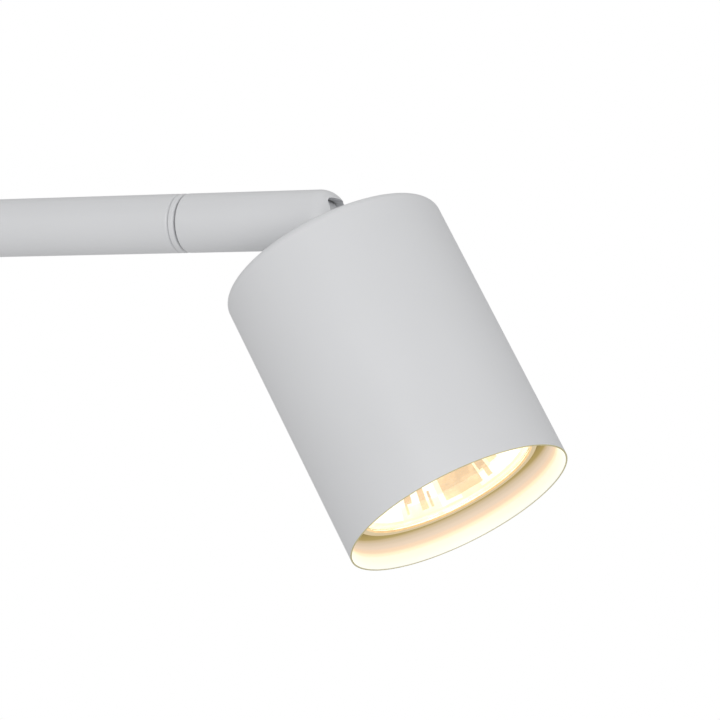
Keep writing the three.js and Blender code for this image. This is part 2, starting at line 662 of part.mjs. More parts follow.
/** A chamfered hexagon nut along Z. */
function nut(low, thickness) {
  const high = low + thickness;
  const corner = NUT_ACROSS_FLATS / Math.sqrt(3);
  const flat = NUT_ACROSS_FLATS / 2;
  const drop = (corner - flat) * Math.tan(radians(30));
  const rounding = turned([
    [0, low],
    [flat, low],
    [corner, low + drop],
    [corner, high - drop],
    [flat, high],
    [0, high],
  ], 24);
  const prism = hexagon(NUT_ACROSS_FLATS, low, high);
  return cut(common(prism, rounding), rod(STUB_HOLE_R, low - 1, high + 1, 18));
}

// ---------------------------------------------------------------- arm
/** The elbow knuckle, with a plug that enters the arm tube. Drawn with its nose along +X. */
function elbowKnuckle() {
  const plugEnd = ELBOW_TAIL + PLUG_LENGTH;
  const plug = alongX(rod(PLUG_R, -plugEnd, -ELBOW_TAIL + 1, 28));
  return knuckle(join(knuckleBlank(ELBOW_TAIL), plug), plugEnd).rotateY(Math.PI);
}

/** The arm tube, between the elbow knuckle and the collar. */
function armTube() {
  const low = ELBOW_TAIL + GAP;
  const high = ARM_REACH - TUBE_END;
  return alongX(turned([
    [TUBE_BORE_R, low],
    [BAR_R - EDGE_BREAK, low],
    [BAR_R, low + EDGE_BREAK],
    [BAR_R, high - EDGE_BREAK],
    [BAR_R - EDGE_BREAK, high],
    [TUBE_BORE_R, high],
    [TUBE_BORE_R, low],
  ], 32));
}

/** The collar with its plug and the grooved spigot that the head knuckle turns on. */
function rollSpigot() {
  const rear = ARM_REACH - COLLAR_REAR;
  const front = ARM_REACH - COLLAR_FRONT;
  const tip = front + SPIGOT_LENGTH;
  const grooveMiddle = ARM_REACH - KNUCKLE_TAIL + GROOVE_OFFSET;
  const grooveFrom = grooveMiddle - GROOVE_WIDTH / 2;
  const grooveTo = grooveMiddle + GROOVE_WIDTH / 2;
  const body = alongX(turned([
    [0, rear - PLUG_LENGTH],
    [PLUG_R, rear - PLUG_LENGTH],
    [PLUG_R, rear],
    [BAR_R - EDGE_BREAK, rear],
    [BAR_R, rear + EDGE_BREAK],
    [BAR_R, front - EDGE_BREAK],
    [BAR_R - EDGE_BREAK, front],
    [SPIGOT_R, front],
    [SPIGOT_R, tip - EDGE_BREAK],
    [SPIGOT_R - EDGE_BREAK, tip],
    [0, tip],
  ], 32));
  const ring = alongX(pipe(GROOVE_FLOOR_R, BAR_R, grooveFrom, grooveTo, 32));
  const ribHalf = SPIGOT_R * Math.tan(radians(STOP_RIB_HALF_ANGLE));
  const rib = block(grooveFrom - 1, grooveTo + 1, -BAR_D, 0, -ribHalf, ribHalf);
  const bore = alongX(rod(LEAD_BORE_R + GAP, rear - PLUG_LENGTH - 1, tip + 1, 14));
  return cut(body, cut(ring, rib), bore);
}

/** The head knuckle, bored at the rear for the spigot and cross-drilled for the stop screw. */
function headKnuckle() {
  const blank = knuckleBlank(KNUCKLE_TAIL);
  const bore = alongX(rod(SPIGOT_R + GAP, -KNUCKLE_TAIL - 1, SPIGOT_BORE_DEPTH - KNUCKLE_TAIL, 28));
  const stopHole = alongY(rod(STOP_SCREW_R + GAP, 0, BAR_D, 14));
  return cut(knuckle(blank, KNUCKLE_TAIL), bore, stopHole.translate(GROOVE_OFFSET - KNUCKLE_TAIL, 0, 0));
}

/** The grub screw whose tip runs in the spigot's groove. */
function rollStopScrew() {
  const shoulder = SPIGOT_R + 2 * GAP;
  const face = BAR_R - 2 * GAP;
  const tip = rod(STOP_TIP_R, GROOVE_FLOOR_R + GAP, shoulder + 1, 12);
  const body = rod(STOP_SCREW_R, shoulder, face, 14);
  const socket = hexagon(STOP_SCREW_R, face - SOCKET_DEPTH, BAR_D);
  return alongY(cut(join(tip, body), socket)).translate(GROOVE_OFFSET - KNUCKLE_TAIL, 0, 0);
}

const lead = (from, to) => alongX(rod(LEAD_R, from, to, 10));

// ---------------------------------------------------------------- head, drawn about its own axis
/** The shade: a closed top with a rounded edge, and a thin wall down to an open mouth. */
function shade() {
  const outer = SHADE_D / 2;
  const inner = outer - SHADE_WALL;
  const innerR = Math.max(SHADE_EDGE_R - SHADE_WALL, 0.5);
  const top = HINGE_RISE;
  const under = top + SHADE_TOP_T;
  return alongX(turned([
    [STUB_HOLE_R, top],
    ...arc(outer - SHADE_EDGE_R, top + SHADE_EDGE_R, SHADE_EDGE_R, -90, 0, 3),
    [outer, MOUTH_X],
    [inner, MOUTH_X],
    ...arc(inner - innerR, under + innerR, innerR, 0, -90, 2),
    [STUB_HOLE_R, under],
    [STUB_HOLE_R, top],
  ], 48));
}

/** The washer under the shade's top. */
const lockWasher = () => (
  alongX(pipe(STUB_HOLE_R, NUT_ACROSS_FLATS / 2 + 1, WASHER_X, WASHER_X + WASHER_T, 20))
);

/** The strap that carries the lampholder: a base under the nut and two legs beside the holder. */
function holderBracket() {
  const half = BRACKET_WIDTH / 2;
  const legEnd = HOLDER_FRONT - HOLDER_SCREW_BACK + BRACKET_WIDTH / 3;
  const base = block(BRACKET_X, BRACKET_X + BRACKET_T, -half, half, -LEG_OUTSIDE, LEG_OUTSIDE);
  const legs = both.map((side) => {
    const [low, high] = [side * LEG_INSIDE, side * LEG_OUTSIDE].sort((a, b) => a - b);
    return block(BRACKET_X, legEnd, -half, half, low, high);
  });
  const stubHole = alongX(rod(STUB_HOLE_R, 0, MOUTH_X, 18));
  const screwHoles = rod(SCREW_R + GAP, -SHADE_D, SHADE_D, 12)
    .translate(HOLDER_FRONT - HOLDER_SCREW_BACK, 0, 0);
  return cut(join(base, ...legs), stubHole, screwHoles);
}

/** The earthing tag under the nut. */
function earthTag() {
  const ring = pipe(STUB_HOLE_R, NUT_ACROSS_FLATS / 2, TAG_X, TAG_X + TAG_T, 20);
  const tail = block(-1.8, 1.8, STUB_HOLE_R + 1, NUT_ACROSS_FLATS, TAG_X, TAG_X + TAG_T);
  return alongX(join(ring, tail));
}

/** The lampholder: a ceramic puck with two keyhole slots that the lamp's pins lock into. */
function lampholder() {
  const face = HOLDER_FRONT - 2;
  const cavityRear = HOLDER_FRONT - CONTACT_PIN_REACH - 2 * GAP;
  const body = turned([
    [0, HOLDER_REAR],
    [HOLDER_R - 1, HOLDER_REAR],
    [HOLDER_R, HOLDER_REAR + 1],
    [HOLDER_R, HOLDER_FRONT - 1],
    [HOLDER_R - 1, HOLDER_FRONT],
    [0, HOLDER_FRONT],
  ], 28);
  const pitchR = CONTACT_PIN_PITCH / 2;
  const cuts = [90, 270].flatMap((angle) => {
    const entry = curvedSlot(pitchR, CONTACT_PIN_HEAD_R + GAP, angle + TWIST - 1, angle + TWIST);
    const track = curvedSlot(pitchR, CONTACT_PIN_R + GAP, angle, angle + TWIST);
    const room = curvedSlot(pitchR, CONTACT_PIN_HEAD_R + GAP, angle, angle + TWIST);
    return [
      plate(outline(entry), face - 1, HOLDER_FRONT + 1),
      plate(outline(track), face - 1, HOLDER_FRONT + 1),
      plate(outline(room), cavityRear, face),
    ];
  });
  const leadHole = rod(LEAD_BORE_R, HOLDER_REAR - 1, cavityRear - 1, 12);
  const threads = both.map((side) => {
    const [low, high] = [side * (HOLDER_R - 4.8), side * 2 * HOLDER_R].sort((a, b) => a - b);
    return rod(SCREW_R + GAP, low, high, 12).translate(HOLDER_FRONT - HOLDER_SCREW_BACK, 0, 0);
  });
  return cut(alongX(cut(body, ...cuts, leadHole)), ...threads);
}

/** A holder screw through one leg of the bracket. */
function holderScrew(side) {
  const screw = panScrew(HOLDER_R - 4.5, LEG_OUTSIDE + GAP);
  const turnedOver = side > 0 ? screw : screw.rotateX(Math.PI);
  return turnedOver.translate(HOLDER_FRONT - HOLDER_SCREW_BACK, 0, 0);
}

// ---------------------------------------------------------------- lamp, drawn about the head's axis
/** A lamp profile given by distance behind the lamp's front. */
const lampTurned = (profile, segments) => (
  alongX(turned(profile.map(([r, back]) => [r, LAMP_FRONT - back]), segments))
);

/** The mirror's radius behind the lamp's front. Its square falls evenly from the step to the neck. */
function bowlR(back) {
  const share = (back - GLASS_SEAT) / (BOWL_END - GLASS_SEAT);
  return Math.sqrt(BOWL_MOUTH_R ** 2 + share * (NECK_BORE_R ** 2 - BOWL_MOUTH_R ** 2));
}

/** The pressed-glass reflector: a rim with a seat for the cover glass, and a bowl down to a neck. */
function lampReflector() {
  const stations = [0, 0.1, 0.3, 0.5, 0.7, 0.86].map((share) => (
    THREE.MathUtils.lerp(GLASS_SEAT, BOWL_END, share)
  ));
  const outside = stations.slice(1).map((back) => [bowlR(back) + BOWL_WALL, back]);
  const mirrorFace = stations.map((back) => [bowlR(back), back]).reverse();
  const rimR = GLASS_R + GAP;
  return lampTurned([
    [LAMP_R - 0.5, 0], [LAMP_R, 0.5], [LAMP_R, LAMP_RIM_T], [BOWL_MOUTH_R + BOWL_WALL, LAMP_RIM_T + 1],
    ...outside, [NECK_R, BOWL_END], [NECK_R, NECK_END], [NECK_BORE_R, NECK_END], [NECK_BORE_R, BOWL_END],
    ...mirrorFace, [rimR, GLASS_SEAT], [rimR, 0.6], [rimR + 0.6, 0], [LAMP_R - 0.5, 0],
  ], 36);
}

/** The flat cover glass, with its front edge broken. */
function lampGlass() {
  const back = GLASS_SINK + GLASS_T;
  return lampTurned([
    [0, GLASS_SINK], [GLASS_R - EDGE_BREAK, GLASS_SINK], [GLASS_R, GLASS_SINK + EDGE_BREAK],
    [GLASS_R, back], [0, back],
  ], 36);
}

/** The ceramic base with two flats, cemented round the reflector's neck. */
function lampBase() {
  const from = LAMP_LENGTH - BASE_LENGTH;
  const body = lampTurned([
    [0, from], [BASE_R - 0.6, from], [BASE_R, from + 0.6],
    [BASE_R, LAMP_LENGTH - 1], [BASE_R - 1, LAMP_LENGTH], [0, LAMP_LENGTH],
  ], 28);
  const half = BASE_FLAT / 2;
  const back = LAMP_FRONT - LAMP_LENGTH;
  const flats = block(back - 1, LAMP_FRONT, -BAR_D, BAR_D, -half, half);
  const well = (radius, end, segments) => (
    lampTurned([[0, 0], [radius, 0], [radius, end], [0, end]], segments)
  );
  const neck = well(NECK_R + 2 * GAP, NECK_END + GAP, 28);
  const stem = well(CAPSULE_R + GAP, CAPSULE_END + GAP, 18);
  const holes = both.map((side) => (
    alongX(rod(CONTACT_PIN_R + GAP, back - 1, back + 4, 12)).translate(0, side * CONTACT_PIN_PITCH / 2, 0)
  ));
  return cut(common(body, flats), neck, stem, ...holes);
}

/** A mushroom-headed contact pin. */
function lampPin(side) {
  const back = LAMP_FRONT - LAMP_LENGTH;
  const end = back - CONTACT_PIN_REACH;
  return alongX(turned([
    [0, end],
    [CONTACT_PIN_HEAD_R - 0.4, end],
    [CONTACT_PIN_HEAD_R, end + 0.4],
    [CONTACT_PIN_HEAD_R, end + CONTACT_PIN_HEAD_T],
    [CONTACT_PIN_R, end + CONTACT_PIN_HEAD_T],
    [CONTACT_PIN_R, back + 3.7],
    [0, back + 3.7],
  ], 14)).translate(0, (side * CONTACT_PIN_PITCH) / 2, 0);
}

/** The quartz capsule: a thin tube with a domed end, open where its leads go in. */
const lampCapsule = () => lampTurned([
  ...arc(0, CAPSULE_DOME, CAPSULE_R, -90, 0, 4),
  [CAPSULE_R, CAPSULE_END],
  [CAPSULE_R - CAPSULE_WALL, CAPSULE_END],
  ...arc(0, CAPSULE_DOME, CAPSULE_R - CAPSULE_WALL, 0, -90, 4),
], 18);

/** The filament: a fine coil across the capsule on two support wires. */
function lampFilament() {
  const coil = rod(FILAMENT_R, -FILAMENT_HALF, FILAMENT_HALF, 10);
  const wires = both.map((side) => (
    alongX(rod(FILAMENT_WIRE_R, -FILAMENT_WIRE_LENGTH, 0, 12))
      .translate(0, 0, side * (FILAMENT_HALF - FILAMENT_WIRE_R))
  ));
  return join(coil, ...wires).translate(LAMP_FRONT - FILAMENT_BACK, 0, 0);
}

// ---------------------------------------------------------------- assembly
const fitting = new THREE.Group();

add(fitting, 'adapter_housing', adapterHousing(), moulding);
add(fitting, 'adapter_lid', adapterLid(), moulding);
add(fitting, 'earth_spring', earthSpring(), copper);
add(fitting, 'lid_screw_front', lidScrew(lidScrewPlaces[1]), steel);
add(fitting, 'lid_screw_rear', lidScrew(lidScrewPlaces[0]), steel);
add(fitting, 'terminal_block', terminalBlock(), nylon);
add(fitting, 'swivel_bush', swivelBush(), nylon);

const contactSide = new THREE.Group();
contactSide.position.x = -WHEEL_X;
contactSide.rotation.z = Math.PI;
add(contactSide, 'contact_wheel', lockWheel(ROTOR_SHAFT_TOP), moulding);
add(contactSide, 'contact_rotor', contactRotor(), nylon);
add(contactSide, 'contact_live', contactBlade(1, LIVE_BELOW_TOP), copper);
add(contactSide, 'contact_neutral', contactBlade(-1, NEUTRAL_BELOW_TOP), copper);

const lugSide = new THREE.Group();
lugSide.position.x = WHEEL_X;
add(lugSide, 'lock_wheel', lockWheel(LUG_SHAFT_TOP), moulding);
add(lugSide, 'lock_lug', lockLug(), steel);
add(lugSide, 'lug_screw', panScrew(LUG_SHAFT_TOP - 4, SEAT_Z + LUG_CLEAR + LUG_T + GAP), steel);

const stem = new THREE.Group();
stem.position.z = ELBOW_Z;
stem.rotation.y = -Math.PI / 2;
add(stem, 'swivel_stem', tongue(BAR_R, STEM_TOP - ELBOW_Z), paint);
add(stem, 'stem_lead', lead(HINGE_RISE - 2, STEM_TOP - ELBOW_Z), sleeving);
add(fitting, 'swivel_stop_washer', stopWasher(), steel);
add(fitting, 'swivel_nut', nut(SWIVEL_NUT_Z, SWIVEL_NUT_T), steel);

const arm = new THREE.Group();
arm.position.z = ELBOW_Z;
add(arm, 'elbow_knuckle', elbowKnuckle(), paint);
add(arm, 'elbow_pivot_screw', pivotScrew(), steel);
add(arm, 'arm_tube', armTube(), paint);
add(arm, 'roll_spigot', rollSpigot(), paint);
add(arm, 'arm_lead', lead(NOSE_REACH, ARM_REACH - COLLAR_FRONT + SPIGOT_LENGTH - 1), sleeving);

const end = new THREE.Group();
end.position.x = ARM_REACH;
add(end, 'head_knuckle', headKnuckle(), paint);
add(end, 'head_pivot_screw', pivotScrew(), steel);
add(end, 'roll_stop_screw', rollStopScrew(), steel);
add(end, 'knuckle_lead', lead(SPIGOT_BORE_DEPTH - KNUCKLE_TAIL, -EYE_R - 2 * GAP), sleeving);

const head = new THREE.Group();
head.rotation.y = radians(HEAD_TILT);
add(head, 'head_tongue', tongue(HEAD_FLANGE_R, HEAD_STUB_END), paint);
add(head, 'shade', shade(), paint);
add(head, 'lock_washer', lockWasher(), steel);
add(head, 'holder_bracket', holderBracket(), steel);
add(head, 'earth_tag', earthTag(), copper);
add(head, 'head_nut', alongX(nut(HEAD_NUT_X, HEAD_NUT_T)), steel);
add(head, 'lampholder', lampholder(), ceramic);
add(head, 'holder_screw_upper', holderScrew(1), steel);
add(head, 'holder_screw_lower', holderScrew(-1), steel);
add(head, 'head_lead', lead(HINGE_RISE - 2, HOLDER_REAR + 3), sleeving);

const lamp = new THREE.Group();
add(lamp, 'lamp_reflector', lampReflector(), mirror);
add(lamp, 'lamp_glass', lampGlass(), glass);
add(lamp, 'lamp_base', lampBase(), ceramic);
add(lamp, 'lamp_pin_near', lampPin(-1), steel);
add(lamp, 'lamp_pin_far', lampPin(1), steel);
add(lamp, 'lamp_capsule', lampCapsule(), glass);
add(lamp, 'lamp_filament', lampFilament(), tungsten);

head.add(lamp);
end.add(head);
arm.add(end);
fitting.add(contactSide, lugSide, stem, arm);

export default fitting;
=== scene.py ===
"""Looks of a long-arm track spotlight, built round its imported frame.

Sizes are millimetres until a surface is laid into a mesh, which is in metres. Three local frames
carry the pieces: the fitting's own, the arm's at the elbow pin, and the head's at the head pin.
In the last two, +X runs away from the pin, along the arm or towards the light.
"""

import json
import logging
import math
from collections.abc import Sequence
from dataclasses import dataclass, field
from enum import Enum

import bmesh
import bpy
import numpy as np
from mathutils import Matrix, Vector


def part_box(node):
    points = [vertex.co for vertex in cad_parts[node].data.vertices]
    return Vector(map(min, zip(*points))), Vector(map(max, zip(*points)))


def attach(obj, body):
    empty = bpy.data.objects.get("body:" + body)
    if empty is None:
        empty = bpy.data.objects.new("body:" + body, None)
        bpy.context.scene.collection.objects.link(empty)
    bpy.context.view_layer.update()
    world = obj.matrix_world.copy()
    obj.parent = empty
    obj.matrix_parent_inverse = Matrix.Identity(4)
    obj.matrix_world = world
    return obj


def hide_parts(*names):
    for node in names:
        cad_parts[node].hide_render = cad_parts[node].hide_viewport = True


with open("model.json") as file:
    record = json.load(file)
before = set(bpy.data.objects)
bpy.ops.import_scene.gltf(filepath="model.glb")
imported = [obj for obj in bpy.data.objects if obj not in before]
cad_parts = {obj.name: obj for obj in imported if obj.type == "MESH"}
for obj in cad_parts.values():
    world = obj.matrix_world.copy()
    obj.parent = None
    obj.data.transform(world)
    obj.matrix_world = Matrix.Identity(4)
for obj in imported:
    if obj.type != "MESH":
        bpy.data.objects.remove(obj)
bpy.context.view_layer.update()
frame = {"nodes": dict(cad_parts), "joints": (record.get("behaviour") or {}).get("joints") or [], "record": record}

MM = 0.001
SEED = 7
SMOOTH_BELOW = math.radians(34)
HARD_ABOVE = 44.0  # degrees between faces past which a carved edge is rounded
MERGE = 2e-6  # metres within which points are one
PAST = 1.0  # millimetres that a carving tool runs past the face it opens
RIM_STEPS = 5  # rows of points round a rolled rim
logger = logging.getLogger("track_spotlight")

Pair = tuple[float, float]
Triple = tuple[float, float, float]
Colour = Triple
Piece = bpy.types.Object
Material = bpy.types.Material
Tree = bpy.types.NodeTree
Node = bpy.types.Node
Socket = bpy.types.NodeSocket
Feed = Socket | float | tuple


# ------------------------------------------------------------------ options
class Axis(Enum):
    """The axis that a turned or extruded surface is drawn along."""

    X = 0
    Y = 1
    Z = 2


class Combine(Enum):
    """How a second solid changes the first."""

    JOIN = "UNION"
    CARVE = "DIFFERENCE"


# ------------------------------------------------------------------ surfaces
@dataclass(frozen=True)
class Surface:
    """A surface as points in millimetres and four-cornered faces."""

    points: np.ndarray
    faces: np.ndarray

    def shifted(self, x: float = 0.0, y: float = 0.0, z: float = 0.0) -> "Surface":
        """The surface moved by a distance along each axis."""
        return Surface(self.points + np.array([x, y, z]), self.faces)

    def spun(self, degrees: float, axis: Axis = Axis.Z) -> "Surface":
        """The surface turned about one of its frame's axes."""
        turn = np.array(Matrix.Rotation(math.radians(degrees), 3, axis.name))
        return Surface(self.points @ turn.T, self.faces)

    def beside(self, other: "Surface") -> "Surface":
        """Both surfaces as one, for pieces that stay apart."""
        faces = np.vstack([self.faces, other.faces + len(self.points)])
        return Surface(np.vstack([self.points, other.points]), faces)


def grid_faces(rows: int, columns: int, closed_rows: bool = False) -> np.ndarray:
    """Faces of a grid of points whose columns close on themselves.

    Args:
        rows: How many rows of points the grid has.
        columns: How many points each row has.
        closed_rows: Whether the last row also joins the first.

    Returns:
        One row of four point numbers for each face.
    """
    row = np.arange(rows if closed_rows else rows - 1)[:, None]
    column = np.arange(columns)[None, :]
    beyond = (row + 1) % rows
    beside = (column + 1) % columns
    here, there = row * columns, beyond * columns
    corners = (here + column, here + beside, there + beside, there + column)
    return np.stack(np.broadcast_arrays(*corners), axis=-1).reshape(-1, 4)


def filleted(corners: Sequence[Pair], radii: Sequence[float], steps: int = 6) -> np.ndarray:
    """A closed outline with its corners rounded.

    Each corner becomes an arc that touches both its sides: it starts and ends the radius over the
    tangent of half the corner's angle away from the corner, limited to just under half of a side.

    Args:
        corners: The outline's corners in order.
        radii: The rounding at each corner, 0 for a sharp one.
        steps: How many chords an arc is made of.

    Returns:
        The rounded outline's points, one row each.
    """
    points = np.asarray(corners, float)
    back = np.roll(points, 1, axis=0) - points
    ahead = np.roll(points, -1, axis=0) - points
    back_length = np.linalg.norm(back, axis=1, keepdims=True)
    ahead_length = np.linalg.norm(ahead, axis=1, keepdims=True)
    back = back / back_length
    ahead = ahead / ahead_length
    half = np.arccos(np.clip((back * ahead).sum(1), -1, 1)) / 2
    limit = 0.49 * np.minimum(back_length, ahead_length)[:, 0]
    tangent = np.minimum(np.asarray(radii, float) / np.tan(half), limit)
    bisector = back + ahead
    bisector = bisector / np.maximum(np.linalg.norm(bisector, axis=1, keepdims=True), 1e-9)
    centre = points + bisector * (tangent / np.cos(half))[:, None]
    start = points + back * tangent[:, None] - centre
    stop = points + ahead * tangent[:, None] - centre
    from_angle = np.arctan2(start[:, 1], start[:, 0])
    sweep = np.arctan2(stop[:, 1], stop[:, 0]) - from_angle
    sweep = (sweep + np.pi) % (2 * np.pi) - np.pi
    angle = from_angle[:, None] + sweep[:, None] * np.linspace(0, 1, steps + 1)[None, :]
    radius = (tangent * np.tan(half))[:, None]
    arc = np.stack([radius * np.cos(angle), radius * np.sin(angle)], axis=-1) + centre[:, None, :]
    return arc.reshape(-1, 2)


def lathe(profile: np.ndarray, steps: int = 96, axis: Axis = Axis.X, ring: bool = True) -> Surface:
    """Turns a profile about an axis.

    A point of the surface is (along, radius * cos(angle), radius * sin(angle)), for each profile
    point and each angle, with its coordinates carried round to start at the chosen axis.

    Args:
        profile: Rows of distance along the axis and radius.
        steps: How many angles a turn is divided into.
        axis: The axis to turn about.
        ring: Whether the profile closes on itself, instead of starting and ending on the axis.

    Returns:
        The closed surface.
    """
    along = profile[:, :1]
    radius = profile[:, 1:]
    angle = np.linspace(0, 2 * np.pi, steps, endpoint=False)[None, :]
    along = np.broadcast_to(along, (len(profile), steps))
    grid = np.stack([along, radius * np.cos(angle), radius * np.sin(angle)], axis=-1)
    points = np.roll(grid, axis.value, axis=-1).reshape(-1, 3)
    return Surface(points, grid_faces(len(profile), steps, ring))


def turned(
    corners: Sequence[Pair],
    radii: Sequence[float] | float = 0.0,
    steps: int = 96,
    axis: Axis = Axis.X,
    bore: float = 0.0,
) -> Surface:
    """A turned piece, from the corners of its profile.

    Args:
        corners: Distance along the axis and radius, from one end to the other.
        radii: The rounding at each corner, or one for them all.
        steps: How many angles a turn is divided into.
        axis: The axis to turn about.
        bore: The radius of the hole through it, 0 for a solid piece.

    Returns:
        The closed surface.
    """
    rounding = list(np.broadcast_to(np.asarray(radii, float), len(corners)))
    first, last = corners[0][0], corners[-1][0]
    outline = [(first, bore), *corners, (last, bore)]
    return lathe(filleted(outline, [0.0, *rounding, 0.0]), steps, axis)


def rod(
    radius: float, low: float, high: float, axis: Axis = Axis.X, edge: float = 0.0, steps: int = 48
) -> Surface:
    """A round rod with rounded ends, turned from its two outer corners."""
    return turned([(low, radius), (high, radius)], edge, steps, axis)


def extruded(
    outline: np.ndarray, low: float, high: float, edge: float = 0.0, axis: Axis = Axis.Z
) -> Surface:
    """An outline carried along an axis, with both its rims rounded.

    Each row of the surface is the outline moved in along its normals. The move is the edge less
    the edge times the sine of an angle that runs over a quarter turn, as in a rolled rim.

    Args:
        outline: The outline's points in order.
        low: Where it starts along the axis.
        high: Where it ends.
        edge: The rounding of both rims.
        axis: The axis to carry it along.

    Returns:
        The closed surface, with a fan of faces over each end.
    """
    chord = np.roll(outline, -1, axis=0) - np.roll(outline, 1, axis=0)
    normal = np.stack([chord[:, 1], -chord[:, 0]], axis=1)
    normal = normal / np.maximum(np.linalg.norm(normal, axis=1, keepdims=True), 1e-9)
    turn = np.linspace(0, np.pi / 2, RIM_STEPS if edge else 1)
    inset = edge * (1 - np.sin(turn))
    rise = edge * (1 - np.cos(turn))
    inset = np.concatenate([inset, inset[::-1]])
    level = np.concatenate([low + rise, (high - rise)[::-1]])
    area = outline[:, 0] * np.roll(outline[:, 1], -1) - np.roll(outline[:, 0], -1) * outline[:, 1]
    rows = outline[None] - np.sign(area.sum()) * inset[:, None, None] * normal[None]
    centre = np.broadcast_to(outline.mean(0), (1, len(outline), 2))
    rows = np.concatenate([centre, rows, centre])
    level = np.concatenate([[low], level, [high]])
    along = np.broadcast_to(level[:, None, None], (*rows.shape[:2], 1))
    points = np.roll(np.concatenate([along, rows], axis=-1), axis.value, axis=-1)
    return Surface(points.reshape(-1, 3), grid_faces(len(level), len(outline)))


def rectangle(x: Pair, y: Pair, radius: float = 0.0, steps: int = 6) -> np.ndarray:
    """A rectangle between two pairs of sides, with rounded corners."""
    corners = [(x[0], y[0]), (x[1], y[0]), (x[1], y[1]), (x[0], y[1])]
    return filleted(corners, [radius] * 4, steps) if radius else np.array(corners)


def block(x: Pair, y: Pair, z: Pair, edge: float = 0.0) -> Surface:
    """A block between three pairs of sides, its upright corners and rims rounded alike."""
    return extruded(rectangle(x, y, edge), *z, edge)


def polygon(across: float, sides: int = 6) -> np.ndarray:
    """A regular polygon by its width across flats."""
    angle = (np.arange(sides) + 0.5) * 2 * np.pi / sides
    return np.stack([np.cos(angle), np.sin(angle)], axis=1) * across / 2 / np.cos(np.pi / sides)


def tube(path: np.ndarray, across: np.ndarray, radius: float, sides: int = 8) -> Surface:
    """A round wire along a path, with a fan of faces over each end.

    A ring's points are the path's point plus the radius times (across * cos + beside * sin), where
    across is made square to the path and beside is square to both.

    Args:
        path: The wire's middle line, a point in each row.
        across: A direction at each point that doesn't run along the path.
        radius: The wire's radius.
        sides: How many points a ring has.

    Returns:
        The closed surface.
    """
    along = np.gradient(path, axis=0)
    along = along / np.linalg.norm(along, axis=1, keepdims=True)
    square = across - (across * along).sum(1, keepdims=True) * along
    square = square / np.linalg.norm(square, axis=1, keepdims=True)
    beside = np.cross(along, square)
    angle = np.linspace(0, 2 * np.pi, sides, endpoint=False)[None, :, None]
    rings = path[:, None] + radius * (square[:, None] * np.cos(angle) + beside[:, None] * np.sin(angle))
    ends = [np.broadcast_to(path[i], (1, sides, 3)) for i in (0, -1)]
    points = np.concatenate([ends[0], rings, ends[1]]).reshape(-1, 3)
    return Surface(points, grid_faces(len(path) + 2, sides))


# ------------------------------------------------------------------ meshes
@dataclass(frozen=True)
class Place:
    """Where a local frame stands: its origin in metres, and its turn about Y in degrees."""

    origin: Triple = (0.0, 0.0, 0.0)
    tilt: float = 0.0

    def metres(self, points: np.ndarray) -> np.ndarray:
        """Points of the local frame, in millimetres, as points of the model, in metres."""
        turn = np.array(Matrix.Rotation(math.radians(self.tilt), 3, "Y"))
        return points * MM @ turn.T + np.array(self.origin)

    def local(self, points: np.ndarray) -> np.ndarray:
        """Points of the model, in metres, as points of the local frame, in millimetres."""
        turn = np.array(Matrix.Rotation(math.radians(self.tilt), 3, "Y"))
        return (points - np.array(self.origin)) @ turn / MM

    def forward(self) -> Vector:
        """The local +X axis in the model."""
        return Matrix.Rotation(math.radians(self.tilt), 3, "Y") @ Vector((1, 0, 0))


def joint_place(joint: str, tilt: float = 0.0) -> Place:
    """The place of a frame at a joint's pin."""
    found = next(row for row in frame["joints"] if row["name"] == joint)
    return Place(tuple(found["pos_m"]), tilt)


def weld(mesh: bpy.types.Mesh, distance: float = MERGE) -> None:
    """Merges a mesh's doubled points, and turns its faces outwards."""
    work = bmesh.new()
    work.from_mesh(mesh)
    bmesh.ops.remove_doubles(work, verts=work.verts, dist=distance)
    bmesh.ops.dissolve_degenerate(work, edges=work.edges, dist=distance / 4)
    bmesh.ops.recalc_face_normals(work, faces=work.faces)
    work.to_mesh(mesh)
    work.free()


def lay(name: str, surface: Surface, place: Place = Place()) -> Piece:
    """Lays a surface into a new object's mesh, at its place in the model."""
    mesh = bpy.data.meshes.new(name)
    mesh.from_pydata(place.metres(surface.points), [], surface.faces.tolist())
    weld(mesh)
    made = bpy.data.objects.new(name, mesh)
    bpy.context.scene.collection.objects.link(made)
    return made


def settle(piece: Piece) -> None:
    """Applies a piece's modifiers, so that the mesh holds the finished shape."""
    graph = bpy.context.evaluated_depsgraph_get()
    before = piece.data
    piece.data = bpy.data.meshes.new_from_object(piece.evaluated_get(graph))
    piece.data.name = piece.name
    piece.modifiers.clear()
    bpy.data.meshes.remove(before)


def soften(piece: Piece, width: float, limit: float = 40.0, segments: int = 3) -> None:
    """Rounds a piece's hard edges.

    Args:
        piece: The piece to work on.
        width: The rounding in millimetres, 0 to leave the edges hard.
        limit: The angle in degrees past which an edge counts as hard.
        segments: How many faces an edge becomes.
    """
    if width:
        bevel = piece.modifiers.new("soft_edges", "BEVEL")
        bevel.width = width * MM
        bevel.segments = segments
        bevel.limit_method = "ANGLE"
        bevel.angle_limit = math.radians(limit)
        bevel.miter_outer = "MITER_ARC"
        settle(piece)
    smooth(piece)


def smooth(piece: Piece) -> None:
    """Shades a piece smooth, apart from the edges that stay hard."""
    piece.data.shade_smooth()
    piece.data.set_sharp_from_angle(angle=SMOOTH_BELOW)
    piece.modifiers.new("even_shading", "WEIGHTED_NORMAL").keep_sharp = True


